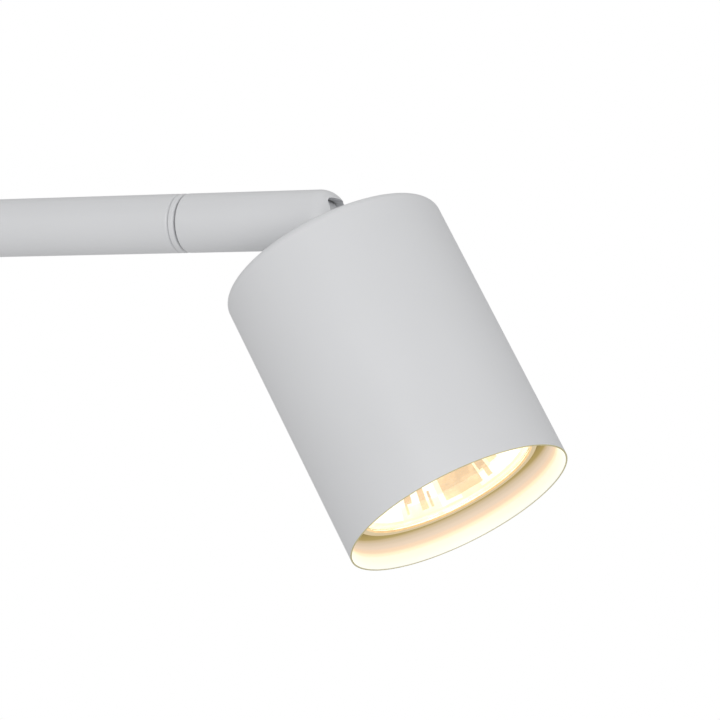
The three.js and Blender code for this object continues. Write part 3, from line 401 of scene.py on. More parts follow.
def shaped(
    name: str, base: Surface, steps: Sequence[tuple[Combine, Surface]], place: Place = Place()
) -> Piece:
    """A solid that other solids are joined to or carved out of, in order.

    Args:
        name: The piece's name.
        base: The solid to start with.
        steps: What is done to it, and with which solid.
        place: The frame that they are all drawn in.

    Returns:
        The piece, with hard edges.
    """
    piece = lay(name, base, place)
    tools = []
    for number, (how, surface) in enumerate(steps):
        tool = lay(f"{name}_step_{number}", surface, place)
        tools.append(tool)
        change = piece.modifiers.new(f"step_{number}", "BOOLEAN")
        change.operation = how.value
        change.solver = "EXACT"
        change.object = tool
    settle(piece)
    for tool in tools:
        bpy.data.meshes.remove(tool.data)
    weld(piece.data, 2 * MERGE)
    return piece


def dressed_copy(node: str, name: str, width: float) -> Piece:
    """A copy of a frame node with its flat faces merged and its edges rounded.

    Args:
        node: The frame's node.
        name: The new piece's name.
        width: The rounding of its edges in millimetres.

    Returns:
        The piece.
    """
    piece = bpy.data.objects.new(name, frame["nodes"][node].data.copy())
    bpy.context.scene.collection.objects.link(piece)
    work = bmesh.new()
    work.from_mesh(piece.data)
    bmesh.ops.remove_doubles(work, verts=work.verts, dist=MERGE)
    flat = math.radians(1)
    bmesh.ops.dissolve_limit(work, angle_limit=flat, verts=work.verts, edges=work.edges, delimit=set())
    work.to_mesh(piece.data)
    work.free()
    soften(piece, width)
    return piece


# ------------------------------------------------------------------ node trees
@dataclass(frozen=True)
class Wiring:
    """Short calls that add nodes to a tree and join their sockets."""

    tree: Tree

    def node(self, kind: str, feeds: dict[str | int, Feed] | None = None, **settings: object) -> Node:
        """Adds a node.

        Args:
            kind: The node's type.
            feeds: What each input gets: a constant, or the output socket that drives it.
            **settings: The node's own settings.

        Returns:
            The new node.
        """
        made = self.tree.nodes.new(kind)
        for key, value in settings.items():
            setattr(made, key, value)
        for key, feed in (feeds or {}).items():
            if isinstance(feed, Socket):
                self.tree.links.new(feed, made.inputs[key])
            else:
                made.inputs[key].default_value = feed
        return made

    def join(self, feed: Socket, node: Node, name: str) -> None:
        """Joins a socket to one of a node's inputs."""
        self.tree.links.new(feed, node.inputs[name])

    def spot(self) -> Socket:
        """The surface point, in the model's metres."""
        return self.node("ShaderNodeTexCoord").outputs["Object"]

    def noise(self, spot: Feed, scale: Feed, detail: float = 2.0, roughness: float = 0.5) -> Socket:
        """A noise texture's value, from 0 to 1."""
        feeds = {"Vector": spot, "Scale": scale, "Detail": detail, "Roughness": roughness}
        return self.node("ShaderNodeTexNoise", feeds).outputs["Fac"]

    def bump(self, height: Feed, depth: float) -> Socket:
        """The surface's normal, tipped by a height whose whole step is a depth in millimetres."""
        feeds = {"Height": height, "Strength": 1.0, "Distance": depth * MM}
        return self.node("ShaderNodeBump", feeds).outputs[0]

    def sum(self, operation: str, first: Feed, second: Feed = 0.0) -> Socket:
        """The result of a Math node."""
        return self.node("ShaderNodeMath", {0: first, 1: second}, operation=operation).outputs[0]

    def vector(self, operation: str, first: Feed, second: Feed) -> Node:
        """A Vector Math node."""
        return self.node("ShaderNodeVectorMath", {0: first, 1: second}, operation=operation)

    def spread(self, value: Feed, source: Pair, target: Pair) -> Socket:
        """A value carried from one range to another, and held inside it."""
        feeds = {0: value, 1: source[0], 2: source[1], 3: target[0], 4: target[1]}
        return self.node("ShaderNodeMapRange", feeds).outputs[0]

    def blend(self, share: Feed, first: Feed, second: Feed) -> Socket:
        """A colour between two, by a share."""
        mix = self.node("ShaderNodeMix", data_type="RGBA")
        for socket, feed in zip((mix.inputs[0], mix.inputs[6], mix.inputs[7]), (share, first, second)):
            if isinstance(feed, Socket):
                self.tree.links.new(feed, socket)
            else:
                socket.default_value = feed
        return mix.outputs[2]

    def ramp(self, value: Feed, stops: Sequence[tuple[float, tuple]], ease: str = "EASE") -> Socket:
        """A colour read off a row of stops."""
        made = self.node("ShaderNodeValToRGB", {0: value})
        made.color_ramp.interpolation = ease
        elements = made.color_ramp.elements
        while len(elements) < len(stops):
            elements.new(1.0)
        for element, (position, colour) in zip(elements, stops):
            element.position = position
            element.color = (*colour, 1.0)
        return made.outputs[0]


def new_group(name: str, inputs: dict[str, str], outputs: dict[str, str]) -> tuple[Wiring, Node, Node]:
    """An empty node group with its sockets.

    Args:
        name: The group's name.
        inputs: Each input's name and socket type.
        outputs: Each output's name and socket type.

    Returns:
        The group's wiring, its input node and its output node.
    """
    tree = bpy.data.node_groups.new(name, "ShaderNodeTree")
    for sockets, direction in ((inputs, "INPUT"), (outputs, "OUTPUT")):
        for label, kind in sockets.items():
            tree.interface.new_socket(name=label, in_out=direction, socket_type=kind)
    wiring = Wiring(tree)
    return wiring, wiring.node("NodeGroupInput"), wiring.node("NodeGroupOutput")


TEXTURE_OUTPUTS = {"Height": "NodeSocketFloat", "Tone": "NodeSocketFloat"}


def grain_group() -> Tree:
    """Fine bumps, with broad faint patches of tone under them."""
    inputs = {"Vector": "NodeSocketVector", "Grain": "NodeSocketFloat", "Patches": "NodeSocketFloat"}
    wiring, given, result = new_group("fine_grain", inputs, TEXTURE_OUTPUTS)
    sockets = given.outputs
    height = wiring.noise(sockets["Vector"], sockets["Grain"], 3.0, 0.55)
    patch = wiring.noise(sockets["Vector"], sockets["Patches"])
    broad = wiring.spread(patch, (0.32, 0.68), (0.0, 0.75))
    wiring.join(height, result, "Height")
    wiring.join(wiring.sum("ADD", broad, wiring.sum("MULTIPLY", height, 0.25)), result, "Tone")
    return wiring.tree


def brush_group() -> Tree:
    """Fine lines drawn out along one direction, as a tool or a brush leaves on metal."""
    inputs = {"Vector": "NodeSocketVector", "Lines": "NodeSocketFloat", "Stretch": "NodeSocketVector"}
    wiring, given, result = new_group("brushed_lines", inputs, TEXTURE_OUTPUTS)
    sockets = given.outputs
    drawn = wiring.vector("MULTIPLY", sockets["Vector"], sockets["Stretch"]).outputs[0]
    height = wiring.noise(drawn, sockets["Lines"], 4.0, 0.6)
    stain = wiring.spread(wiring.noise(sockets["Vector"], 180.0, 3.0, 0.6), (0.3, 0.7), (0.0, 0.5))
    wiring.join(height, result, "Height")
    wiring.join(wiring.sum("ADD", wiring.sum("MULTIPLY", height, 0.5), stain), result, "Tone")
    return wiring.tree


# ------------------------------------------------------------------ finishes
def new_material(name: str) -> tuple[Material, Wiring, Node]:
    """An empty material with a Principled shader joined to its output.

    Returns:
        The material, its wiring and its shader node.
    """
    material = bpy.data.materials.new(name)
    material.use_nodes = True
    material.node_tree.nodes.clear()
    wiring = Wiring(material.node_tree)
    shader = wiring.node("ShaderNodeBsdfPrincipled")
    wiring.node("ShaderNodeOutputMaterial", {"Surface": shader.outputs[0]})
    return material, wiring, shader


def opaque(colour: Colour, share: float = 1.0) -> tuple[float, float, float, float]:
    """A colour, darkened to a share of itself, with full alpha."""
    return (colour[0] * share, colour[1] * share, colour[2] * share, 1.0)


@dataclass(frozen=True)
class GrainedFinish:
    """Paint, moulded plastic, ceramic or rubber: one colour with fine bumps and faint patches."""

    slot: str
    colour: Colour
    roughness: Pair
    grain: float  # bumps in a metre
    patches: float  # patches in a metre
    depth: float  # height of a bump in millimetres
    darkest: float = 0.96  # the patches' darkest tone, as a share of the colour
    coat: float = 0.0

    def surface(self, group: Tree) -> tuple[Material, Wiring, Node]:
        """Builds the material and returns it with its wiring and shader, for a finish that adds to it."""
        material, wiring, shader = new_material(self.slot)
        grain = wiring.node("ShaderNodeGroup", node_tree=group)
        wiring.join(wiring.spot(), grain, "Vector")
        grain.inputs["Grain"].default_value = self.grain
        grain.inputs["Patches"].default_value = self.patches
        tone = grain.outputs["Tone"]
        colour = wiring.blend(tone, opaque(self.colour, self.darkest), opaque(self.colour))
        wiring.join(colour, shader, "Base Color")
        wiring.join(wiring.spread(tone, (0, 1), self.roughness), shader, "Roughness")
        wiring.join(wiring.bump(grain.outputs["Height"], self.depth), shader, "Normal")
        shader.inputs["Coat Weight"].default_value = self.coat
        shader.inputs["Coat Roughness"].default_value = 0.3
        return material, wiring, shader

    def material(self, group: Tree) -> Material:
        """The finished material."""
        return self.surface(group)[0]


@dataclass(frozen=True)
class ShadePaintWithPaintedLight(GrainedFinish):
    """The shade's paint, with the lamp's light on the wall inside the mouth painted on as emission.

    The painted lamplight is read off a ramp along the head's axis, on points in front of the closed top and nearer
    the axis than the outer wall, where the paint is also darkened as painted shade. The lip outside them has no
    painted lamplight, but a warm, darker colour painted on it for the light and shade on the rim.
    """

    place: Place = field(default_factory=Place)
    lip_radius: float = 29.5
    fade: float = 0.1  # how far a change of tone takes
    top: float = 13.5
    ramp_from: float = 60.0
    mouth: float = 87.25
    # painted shade: the paint's darker colour inside the mouth, under the painted lamplight
    inside_painted_shade: Colour = (0.2, 0.19, 0.17)
    # painted light and shade: the warm, darker colour of the lip's end face
    rim_painted_light: Colour = (0.60, 0.54, 0.27)

    def material(self, group: Tree) -> Material:
        """The finished material."""
        material, wiring, shader = self.surface(group)
        from_pin = wiring.vector("SUBTRACT", wiring.spot(), self.place.origin).outputs[0]
        forward = tuple(self.place.forward())
        along = wiring.vector("DOT_PRODUCT", from_pin, forward).outputs["Value"]
        scaling = {0: forward, "Scale": along}
        on_axis = wiring.node("ShaderNodeVectorMath", scaling, operation="SCALE").outputs[0]
        off_axis = wiring.vector("SUBTRACT", from_pin, on_axis).outputs[0]
        radius = wiring.node("ShaderNodeVectorMath", {0: off_axis}, operation="LENGTH").outputs["Value"]
        lip, top, mouth, fade = (size * MM for size in (self.lip_radius, self.top, self.mouth, self.fade))
        nearer = wiring.spread(radius, (lip, lip + fade), (1.0, 0.0))
        inside = wiring.sum("MULTIPLY", nearer, wiring.spread(along, (top, top + fade), (0.0, 1.0)))
        end_face = wiring.spread(along, (mouth - 1.5 * fade, mouth - fade), (0.0, 1.0))
        rim = wiring.sum("SUBTRACT", end_face, inside)
        share = wiring.spread(along, (self.ramp_from * MM, mouth), (0.0, 1.0))
        black = (0.0, 0.0, 0.0, 1.0)
        # painted lamplight: emitted colour on the wall inside the mouth, none elsewhere
        painted_light = wiring.blend(inside, black, wiring.ramp(share, SHADE_PAINTED_LAMPLIGHT))
        painted = shader.inputs["Base Color"].links[0].from_socket
        # painted shade: the paint darkened inside the mouth
        base_with_painted_shade = wiring.blend(inside, painted, opaque(self.inside_painted_shade))
        # painted light and shade on the lip's end face, which has no painted lamplight
        wiring.join(wiring.blend(rim, base_with_painted_shade, opaque(self.rim_painted_light)), shader, "Base Color")
        wiring.join(wiring.blend(rim, painted_light, black), shader, "Emission Color")
        shader.inputs["Emission Strength"].default_value = 1.0
        return material


# Painted lamplight: the emitted colours of the wall inside the mouth, by share of the way from the ramp's start to
# the mouth.
SHADE_PAINTED_LAMPLIGHT = (
    (0.0, (0.01, 0.006, 0.002)),
    (0.55, (0.06, 0.04, 0.01)),
    (0.69, (0.33, 0.24, 0.06)),
    (0.715, (0.50, 0.38, 0.22)),
    (0.74, (0.57, 0.45, 0.32)),
    (0.785, (0.68, 0.53, 0.40)),
    (0.83, (0.80, 0.57, 0.38)),
    (0.86, (0.85, 0.76, 0.50)),
    (0.89, (0.84, 0.83, 0.65)),
    (1.0, (0.84, 0.84, 0.76)),
)


@dataclass(frozen=True)
class BrushedFinish:
    """A bare or plated metal with fine drawn lines and faint stains."""

    slot: str
    colour: Colour
    roughness: Pair
    stretch: Triple  # how densely the lines pack along each axis
    lines: float = 1800.0
    darkest: float = 0.8
    depth: float = 0.01

    def material(self, group: Tree) -> Material:
        """The finished material."""
        material, wiring, shader = new_material(self.slot)
        brush = wiring.node("ShaderNodeGroup", node_tree=group)
        wiring.join(wiring.spot(), brush, "Vector")
        brush.inputs["Lines"].default_value = self.lines
        brush.inputs["Stretch"].default_value = self.stretch
        tone = brush.outputs["Tone"]
        colour = wiring.blend(tone, opaque(self.colour, self.darkest), opaque(self.colour))
        wiring.join(colour, shader, "Base Color")
        wiring.join(wiring.spread(tone, (0, 1), self.roughness), shader, "Roughness")
        wiring.join(wiring.bump(brush.outputs["Height"], self.depth), shader, "Normal")
        shader.inputs["Metallic"].default_value = 1.0
        return material


@dataclass(frozen=True)
class MirrorPaintedReflection:
    """The lamp's mirror bowl with painted reflections: each face's emitted brightness, held as an attribute,
    stands for the filament's light in the mirror.
    """

    slot: str
    attribute: str
    strength: float

    def material(self) -> Material:
        """The finished material."""
        material, wiring, shader = new_material(self.slot)
        facet = wiring.node("ShaderNodeAttribute", attribute_name=self.attribute).outputs["Fac"]
        # painted streaks of reflected light over the facets
        painted_streaks = wiring.noise(wiring.spot(), 420.0, 3.0)
        share = wiring.sum("ADD", facet, wiring.spread(painted_streaks, (0.3, 0.7), (-0.05, 0.05)))
        mirror = wiring.spread(facet, (0.1, 0.2), (0.0, 1.0))
        colour = wiring.blend(mirror, (0.26, 0.23, 0.17, 1.0), (0.18, 0.15, 0.10, 1.0))
        wiring.join(wiring.ramp(share, FACET_PAINTED_REFLECTION, "LINEAR"), shader, "Emission Color")
        wiring.join(wiring.spread(facet, (0, 1), (0.3, 0.12)), shader, "Roughness")
        wiring.join(colour, shader, "Base Color")
        wiring.join(mirror, shader, "Metallic")
        shader.inputs["Emission Strength"].default_value = self.strength
        return material


# Painted reflection: the mirror's emitted colours, by a facet's painted brightness; the rim and outside, at 0,
# glow faintly as painted lamplight.
FACET_PAINTED_REFLECTION = (
    (0.0, (0.26, 0.20, 0.11)),
    (0.15, (0.30, 0.22, 0.12)),
    (0.3, (0.47, 0.30, 0.14)),
    (0.42, (0.61, 0.38, 0.17)),
    (0.52, (0.85, 0.58, 0.28)),
    (0.62, (0.95, 0.76, 0.42)),
    (0.75, (1.0, 0.88, 0.56)),
    (0.86, (1.0, 0.97, 0.78)),
    (1.0, (1.0, 1.0, 0.95)),
)


@dataclass(frozen=True)
class ClearGlass:
    """Clear lamp glass with a trace of ripple."""

    slot: str
    colour: Colour

    def material(self) -> Material:
        """The finished material."""
        material, wiring, shader = new_material(self.slot)
        ripple = wiring.noise(wiring.spot(), 90.0, 1.0)
        wiring.join(wiring.bump(ripple, 0.02), shader, "Normal")
        wiring.join(wiring.spread(ripple, (0.3, 0.7), (0.0, 0.03)), shader, "Roughness")
        shader.inputs["Base Color"].default_value = opaque(self.colour)
        shader.inputs["Transmission Weight"].default_value = 1.0
        shader.inputs["IOR"].default_value = 1.47
        return material


@dataclass(frozen=True)
class GlowingWire:
    """The filament's white-hot wire, a little cooler where the noise dips."""

    slot: str
    strength: float

    def material(self) -> Material:
        """The finished material."""
        material, wiring, shader = new_material(self.slot)
        heat = wiring.noise(wiring.spot(), 400.0)
        colour = wiring.blend(heat, (1.0, 0.72, 0.36, 1.0), (1.0, 0.88, 0.62, 1.0))
        wiring.join(colour, shader, "Emission Color")
        wiring.join(colour, shader, "Base Color")
        shader.inputs["Emission Strength"].default_value = self.strength
        return material


@dataclass
class Finishes:
    """Every finish of the fitting, built once and looked up by its slot in the record."""

    head: Place
    made: dict[str, Material] = field(default_factory=dict)

    def build(self) -> None:
        """Builds the shared node groups and each slot's material."""
        grain = grain_group()
        brush = brush_group()
        paint = {"grain": 2600.0, "patches": 22.0, "depth": 0.012, "darkest": 0.965, "coat": 0.06}
        white = (0.70, 0.706, 0.72)
        for finish in (
            GrainedFinish("arm_paint", white, (0.34, 0.4), **paint),
            ShadePaintWithPaintedLight("shade_paint", white, (0.36, 0.42), place=self.head, **paint),
            GrainedFinish("adapter_moulding", (0.71, 0.715, 0.72), (0.48, 0.6), 3400.0, 40.0, 0.02, 0.95),
            GrainedFinish("nylon", (0.76, 0.735, 0.66), (0.42, 0.55), 2200.0, 90.0, 0.015, 0.9),
            GrainedFinish("lamp_ceramic", (0.80, 0.77, 0.70), (0.6, 0.78), 3000.0, 160.0, 0.03, 0.86),
            GrainedFinish("lead_sleeving", (0.78, 0.78, 0.76), (0.5, 0.65), 4000.0, 120.0, 0.04, 0.88),
            BrushedFinish("plated_steel", (0.62, 0.63, 0.65), (0.24, 0.42), (1.0, 1.0, 0.08)),
            BrushedFinish("contact_copper", (0.80, 0.52, 0.28), (0.2, 0.4), (1.0, 0.08, 1.0), darkest=0.7),
        ):
            group = brush if isinstance(finish, BrushedFinish) else grain
            self.made[finish.slot] = finish.material(group)
        # the mirror bowl, with painted reflections as emission
        self.made["reflector_coating"] = MirrorPaintedReflection("reflector_coating", "facet", 1.5).material()
        self.made["lamp_glass"] = ClearGlass("lamp_glass", (1.0, 0.98, 0.94)).material()
        self.made["filament_wire"] = GlowingWire("filament_wire", 6.0).material()

    def dress(self, piece: Piece, slot: str) -> None:
        """Gives a piece one finish over all its faces."""
        piece.data.materials.clear()
        piece.data.materials.append(self.made[slot])

    def dress_frame(self) -> None:
        """Gives every frame node the finish of its slot."""
        for row in frame["record"]["subparts"]:
            node = frame["nodes"][row["node"]]
            material = self.made[row["material_slot"]]
            for holder in node.material_slots:
                holder.material = material


@dataclass
class SubAssembly:
    """A group of pieces that ride on one body, and the finishes that dress them."""

    finishes: Finishes

    def fit(self, piece: Piece, node: str, slot: str, body: str) -> Piece:
        """Dresses a finished piece, lets it ride on its body, and lets it stand for a frame node.

        Args:
            piece: The finished piece.
            node: The frame node that it stands for.
            slot: The record's slot for its finish.
            body: The body that it rides on.

        Returns:
            The piece.
        """
        self.finishes.dress(piece, slot)
        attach(piece, body)
        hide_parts(node)
        logger.info("%s rides on %s with %d faces", piece.name, body, len(piece.data.polygons))
        return piece


# ------------------------------------------------------------------ hinges
@dataclass(frozen=True)
class HingeSizes:
    """Sizes that a tongue, its knuckle and their screw share."""

    bar_r: float = 7.8
    bar_edge: float = 0.5
    gap: float = 0.3
    eye_r: float = 6.2
    eye_edge: float = 1.6
    tongue_half: float = 4.5
    tongue_edge: float = 0.15
    shank_half: float = 4.9
    rise: float = 11.25
    flange_t: float = 1.0
    flange_edge: float = 0.2
    nose_reach: float = 8.8
    nose_r: float = 6.6
    pin_r: float = 1.5
    pin_edge: float = 0.2
    pin_head_r: float = 2.5
    pin_head_t: float = 1.7
    pin_head_edges: Pair = (0.1, 0.3)
    pin_blind: float = 1.1
    socket_across: float = 2.5
    socket_floor: float = 0.6
    socket_edge: float = 0.06
    lead_bore_r: float = 2.0
    lead_depth: float = 5.0  # how far the lead's bore goes on under the flange
    stub_r: float = 4.0
    stub_edge: float = 0.4
    lip: float = 0.28  # rounding of the slot's lips

    def slot_half(self) -> float:
        """Half the slot's width."""
        return self.tongue_half + self.gap

    def eye_disc(self, grow: float = 0.0) -> Surface:
        """The round eye about the pin, with both its rims rounded, grown by a clearance."""
        half = self.tongue_half + grow
        return rod(self.eye_r + grow, -half, half, Axis.Y, self.eye_edge + grow, 96)

    def knuckle(self, name: str, tail: float, bores: Sequence[Surface], place: Place, flip: bool) -> Piece:
        """A round-nosed knuckle with the pocket that a tongue's eye turns in.

        Args:
            name: The piece's name.
            tail: How far it reaches behind its pin.
            bores: What else is carved out of it.
            place: The pin's frame.
            flip: Whether the nose points along -X.

        Returns:
            The piece, with its lips rounded.
        """
        far = 4 * self.bar_r
        within = 1.0  # a point inside the slot, where the screw head's hole starts
        nose = np.linspace(0, np.pi / 2, 24)
        forward = self.nose_reach - self.nose_r * (1 - np.sin(nose))
        arc = np.stack([forward, self.bar_r - self.nose_r * (1 - np.cos(nose))], axis=1)
        chords = 6
        rear = filleted([(-tail, 0), (-tail, self.bar_r), (0, self.bar_r)], [0, self.bar_edge, 0], chords)
        rear = rear[chords + 1 : 2 * (chords + 1)]
        blank = lathe(np.vstack([[[-tail, 0]], rear, arc, [[self.nose_reach, 0]]]), 160, ring=False)
        width = self.slot_half()
        roof = self.shank_half + self.gap
        section = rectangle((-width, width), (-far, roof), self.eye_edge + self.gap, 8)
        steps = [
            (Combine.CARVE, self.eye_disc(self.gap)),
            (Combine.CARVE, block((-self.eye_r - self.gap, far), (-width, width), (-far, 0))),
            (Combine.CARVE, extruded(section, 0, far, axis=Axis.X)),
            (Combine.CARVE, rod(self.pin_r + self.gap, -width - self.pin_blind - self.gap, far, Axis.Y)),
            (Combine.CARVE, rod(self.pin_head_r + self.gap, within, far, Axis.Y)),
            *((Combine.CARVE, bore) for bore in bores),
        ]
        if flip:
            blank = blank.spun(180, Axis.Y)
            steps = [(how, surface.spun(180, Axis.Y)) for how, surface in steps]
        piece = shaped(name, blank, steps, place)
        soften(piece, self.lip, HARD_ABOVE, 3)
        return piece

    def tongue(self, name: str, flange_r: float, stub_end: float, place: Place) -> Piece:
        """The eye, its shank, the flange that it is bolted up to, and its hollow stub."""
        flange_to = self.rise - self.gap
        half = self.tongue_half
        section = rectangle((-half, half), (-self.shank_half, self.shank_half), self.eye_edge, 8)
        flange_from = flange_to - self.flange_t
        steps = [
            (Combine.JOIN, extruded(section, 0, flange_to - self.flange_t / 2, axis=Axis.X)),
            (Combine.JOIN, rod(flange_r, flange_from, flange_to, edge=self.flange_edge, steps=96)),
            (Combine.JOIN, rod(self.stub_r, flange_from, stub_end, edge=self.stub_edge, steps=72)),
            (Combine.CARVE, rod(self.pin_r + self.gap, -half - PAST, half + PAST, Axis.Y)),
            (Combine.CARVE, rod(self.lead_bore_r, flange_from - self.lead_depth, stub_end + PAST)),
        ]
        piece = shaped(name, self.eye_disc(), steps, place)
        soften(piece, self.tongue_edge, HARD_ABOVE, 2)
        return piece

    def pivot_screw(self, name: str, place: Place) -> Piece:
        """The socketed screw whose shank is the hinge pin."""
        seat = self.slot_half() + self.gap
        top = seat + self.pin_head_t
        tip = -self.slot_half() - self.pin_blind
        corners = [(tip, self.pin_r), (seat, self.pin_r), (seat, self.pin_head_r), (top, self.pin_head_r)]
        blank = turned(corners, [self.pin_edge, 0, *self.pin_head_edges], 48, Axis.Y)
        socket = extruded(polygon(self.socket_across), seat + self.socket_floor, top + PAST, axis=Axis.Y)
        piece = shaped(name, blank, [(Combine.CARVE, socket)], place)
        soften(piece, self.socket_edge, HARD_ABOVE, 2)
        return piece


# ------------------------------------------------------------------ head and lamp
@dataclass
class Head(SubAssembly):
    """The shade and the tongue that it hangs from."""

    place: Place
    hinge: HingeSizes
    shade_r: float = 30.0
    shade_length: float = 76.0
    wall: float = 1.2
    lip_t: float = 0.42
    lip_length: float = 3.0
    lip_edge: float = 0.15
    taper_edge: float = 1.0
    top_t: float = 1.5
    top_edge: float = 2.15
    inner_edge: float = 0.95
    hole_r: float = 4.3
    hole_edge: float = 0.2
    flange_r: float = 6.0
    stub_end: float = 20.0

    def build(self) -> None:
        """Builds and fits the head's pieces."""
        top = self.hinge.rise
        mouth = top + self.shade_length
        inner = self.shade_r - self.wall
        floor = top + self.top_t
        corners = [
            (top, self.hole_r), (top, self.shade_r),
            (mouth, self.shade_r), (mouth, self.shade_r - self.lip_t),
            (mouth - self.lip_length, inner), (floor, inner), (floor, self.hole_r),
        ]
        rounding = [self.hole_edge, self.top_edge, self.lip_edge, self.lip_edge]
        rounding += [self.taper_edge, self.inner_edge, self.hole_edge]
        outline = filleted(corners, rounding, 10)
        shade = lay("shade_shell", lathe(outline, 256), self.place)
        smooth(shade)
        self.fit(shade, "shade", "shade_paint", "head")
        tongue = self.hinge.tongue("hinge_tongue", self.flange_r, self.stub_end, self.place)
        self.fit(tongue, "head_tongue", "arm_paint", "head")


@dataclass(frozen=True)
class Shadow:
    """A painted shadow: a tan patch on the mirror's painted reflections, between two angles about the axis and two
    depths.
    """

    turn_from: float
    turn_to: float
    front: float
    back: float
    painted_light: float

    def covers(self, turn: np.ndarray, back: np.ndarray) -> np.ndarray:
        """Which points, by their angle and their distance behind the lamp's front, it falls on."""
        beside = (turn > self.turn_from) & (turn < self.turn_to)
        return beside & (back > self.front) & (back < self.back)


@dataclass
class Lamp(SubAssembly):
    """The reflector lamp: mirror bowl, cover glass, capsule and filament."""

    place: Place
    front: float = 79.95
    rim_r: float = 25.3
    rim_edge: float = 0.3
    rim_depth: float = 2.4
    glass_r: float = 23.6
    glass_t: float = 2.0
    glass_sink: float = 0.5
    glass_edges: Pair = (0.35, 0.2)
    glass_gap: float = 0.3
    lip: float = 0.4  # how far the lip reaches over the glass, and its thickness at the glass's edge
    lip_edge: float = 0.2  # how far its inner edge lies behind the front
    bowl_r: float = 22.3
    bowl_from: float = 2.9
    bowl_to: float = 30.5
    bowl_wall: float = 1.9
    neck_r: float = 8.6
    neck_bore: float = 6.6
    neck_to: float = 36.0
    columns: int = 24
    rows: int = 8
    across: int = 15  # steps across a facet
    deep: int = 7  # steps along a facet
    dimple: float = 0.2
    capsule_r: float = 4.6
    capsule_wall: float = 0.9
    capsule_dome: float = 18.6  # the dome's middle, behind the lamp's front as are the two below
    capsule_rear: float = 39.7
    coil_at: float = 20.5
    coil_r: float = 0.45
    coil_half: float = 1.9
    coil_turns: int = 14
    coil_wire_r: float = 0.09
    support_r: float = 0.2
    support_length: float = 19.0  # of the two wires that hold the coil
    # painted reflection brightness of the facets
    facet_painted_light: Pair = (0.7, 0.3)  # the dimmest facet, and how much more the brightest has
    # painted light on the step that the glass sits on, on its seat, and on the lip round the glass
    step_painted_light: float = 0.7
    seat_painted_light: float = 0.75
    lip_painted_light: float = 0.36
    seed: int = SEED
    shadows: tuple[Shadow, ...] = (
        Shadow(-26.5, 3.4, 4.4, 11.0, 0.42),
        Shadow(4.8, 12.1, 7.0, 10.5, 0.4),
        Shadow(8.4, 12.2, 4.3, 7.2, 0.44),
        Shadow(-44.0, -38.6, 4.4, 10.0, 0.42),
        Shadow(-36.6, -35.4, 4.5, 8.2, 0.36),
        Shadow(-55.6, -50.0, 6.8, 8.6, 0.42),
        Shadow(-56.0, -53.6, 4.6, 7.2, 0.47),
        Shadow(15.4, 24.0, 6.6, 8.6, 0.55),
    )

    def turned_back(self, profile: Sequence[Pair], radii: Sequence[float], steps: int) -> Surface:
        """A closed ring profile given by distance behind the lamp's front and radius."""
        return lathe(filleted([(self.front - back, radius) for back, radius in profile], radii), steps)

    def bowl_radius(self, back: np.ndarray) -> np.ndarray:
        """The mirror's radius behind the front. Its square falls evenly from the step to the neck."""
        share = np.clip((back - self.bowl_from) / (self.bowl_to - self.bowl_from), 0, 1)
        return np.sqrt(self.bowl_r**2 + share * (self.neck_bore**2 - self.bowl_r**2))

    def mirror_sheet(self) -> Surface:
        """The faceted mirror, an open sheet.

        Its radius is the bowl's less a dimple in each facet: a depth times one minus the square of
        the distance from the facet's middle, along and across.
        """
        steps = self.columns * self.across
        back = np.linspace(self.bowl_from, self.bowl_to, self.rows * self.deep + 1)
        angle = np.linspace(0, 2 * np.pi, steps, endpoint=False)
        beside = np.arange(steps) % self.across / self.across * 2 - 1
        along = np.arange(len(back)) % self.deep / self.deep * 2 - 1
        dimple = self.dimple * (1 - beside[None, :] ** 2) * (1 - along[:, None] ** 2)
        radius = self.bowl_radius(back)[:, None] - dimple
        forward = np.broadcast_to(self.front - back[:, None], radius.shape)
        grid = np.stack([forward, radius * np.cos(angle), radius * np.sin(angle)], axis=-1)
        return Surface(grid.reshape(-1, 3), grid_faces(len(back), steps))

    def brightness(self, middles: np.ndarray) -> np.ndarray:
        """How bright the painted light on each face of the reflector is.

        A face of the mirror has its facet's painted reflection brightness, unless a painted shadow falls on it.
        The step that the glass sits on is painted bright, the lip round the glass painted dim, and every other
        face dimmer still.

        Args:
            middles: The faces' middles in the model.

        Returns:
            One brightness for each middle.
        """
        local = self.place.local(middles)
        back = self.front - local[:, 0]
        radius = np.hypot(local[:, 1], local[:, 2])
        turn = np.degrees(np.arctan2(local[:, 2], local[:, 1]))
        cells = np.random.default_rng(self.seed).random((self.rows, self.columns))
        share = (back - self.bowl_from) / (self.bowl_to - self.bowl_from)
        row = np.clip(share * self.rows, 0, self.rows - 1)
        column = (turn % 360) / 360 * self.columns % self.columns
        dimmest, spread = self.facet_painted_light
        painted_light = dimmest + spread * cells[row.astype(int), column.astype(int)]
        for shadow in self.shadows:
            painted_light = np.where(shadow.covers(turn, back), shadow.painted_light, painted_light)
        painted_light = np.where(back < self.bowl_from + 0.5, self.step_painted_light, painted_light)
        mirror = np.abs(radius - self.bowl_radius(back)) < 2 * self.dimple
        mirror &= (back > self.bowl_from) & (back < self.bowl_to)
        near = 0.01  # so that a face which lies in a limit is inside it
        seat = (back > self.lip - near) & (back < self.bowl_from + near)
        seat &= radius < self.glass_r + self.glass_gap + near
        lip = (back < self.lip) & (radius < self.glass_r)
        rest = np.where(seat, self.seat_painted_light, np.where(lip, self.lip_painted_light, 0.0))
        return np.where(mirror, painted_light, rest).astype(np.float32)

    def build(self) -> None:
        """Builds and fits the lamp's pieces."""
        self.build_reflector()
        near, far = self.glass_sink, self.glass_sink + self.glass_t
        section = [(near, 0.0), (near, self.glass_r), (far, self.glass_r), (far, 0.0)]
        glass = self.turned_back(section, [0, *self.glass_edges, 0], 192)
        cover = lay("cover_glass", glass, self.place)
        smooth(cover)
        self.fit(cover, "lamp_glass", "lamp_glass", "lamp")
        self.build_capsule()

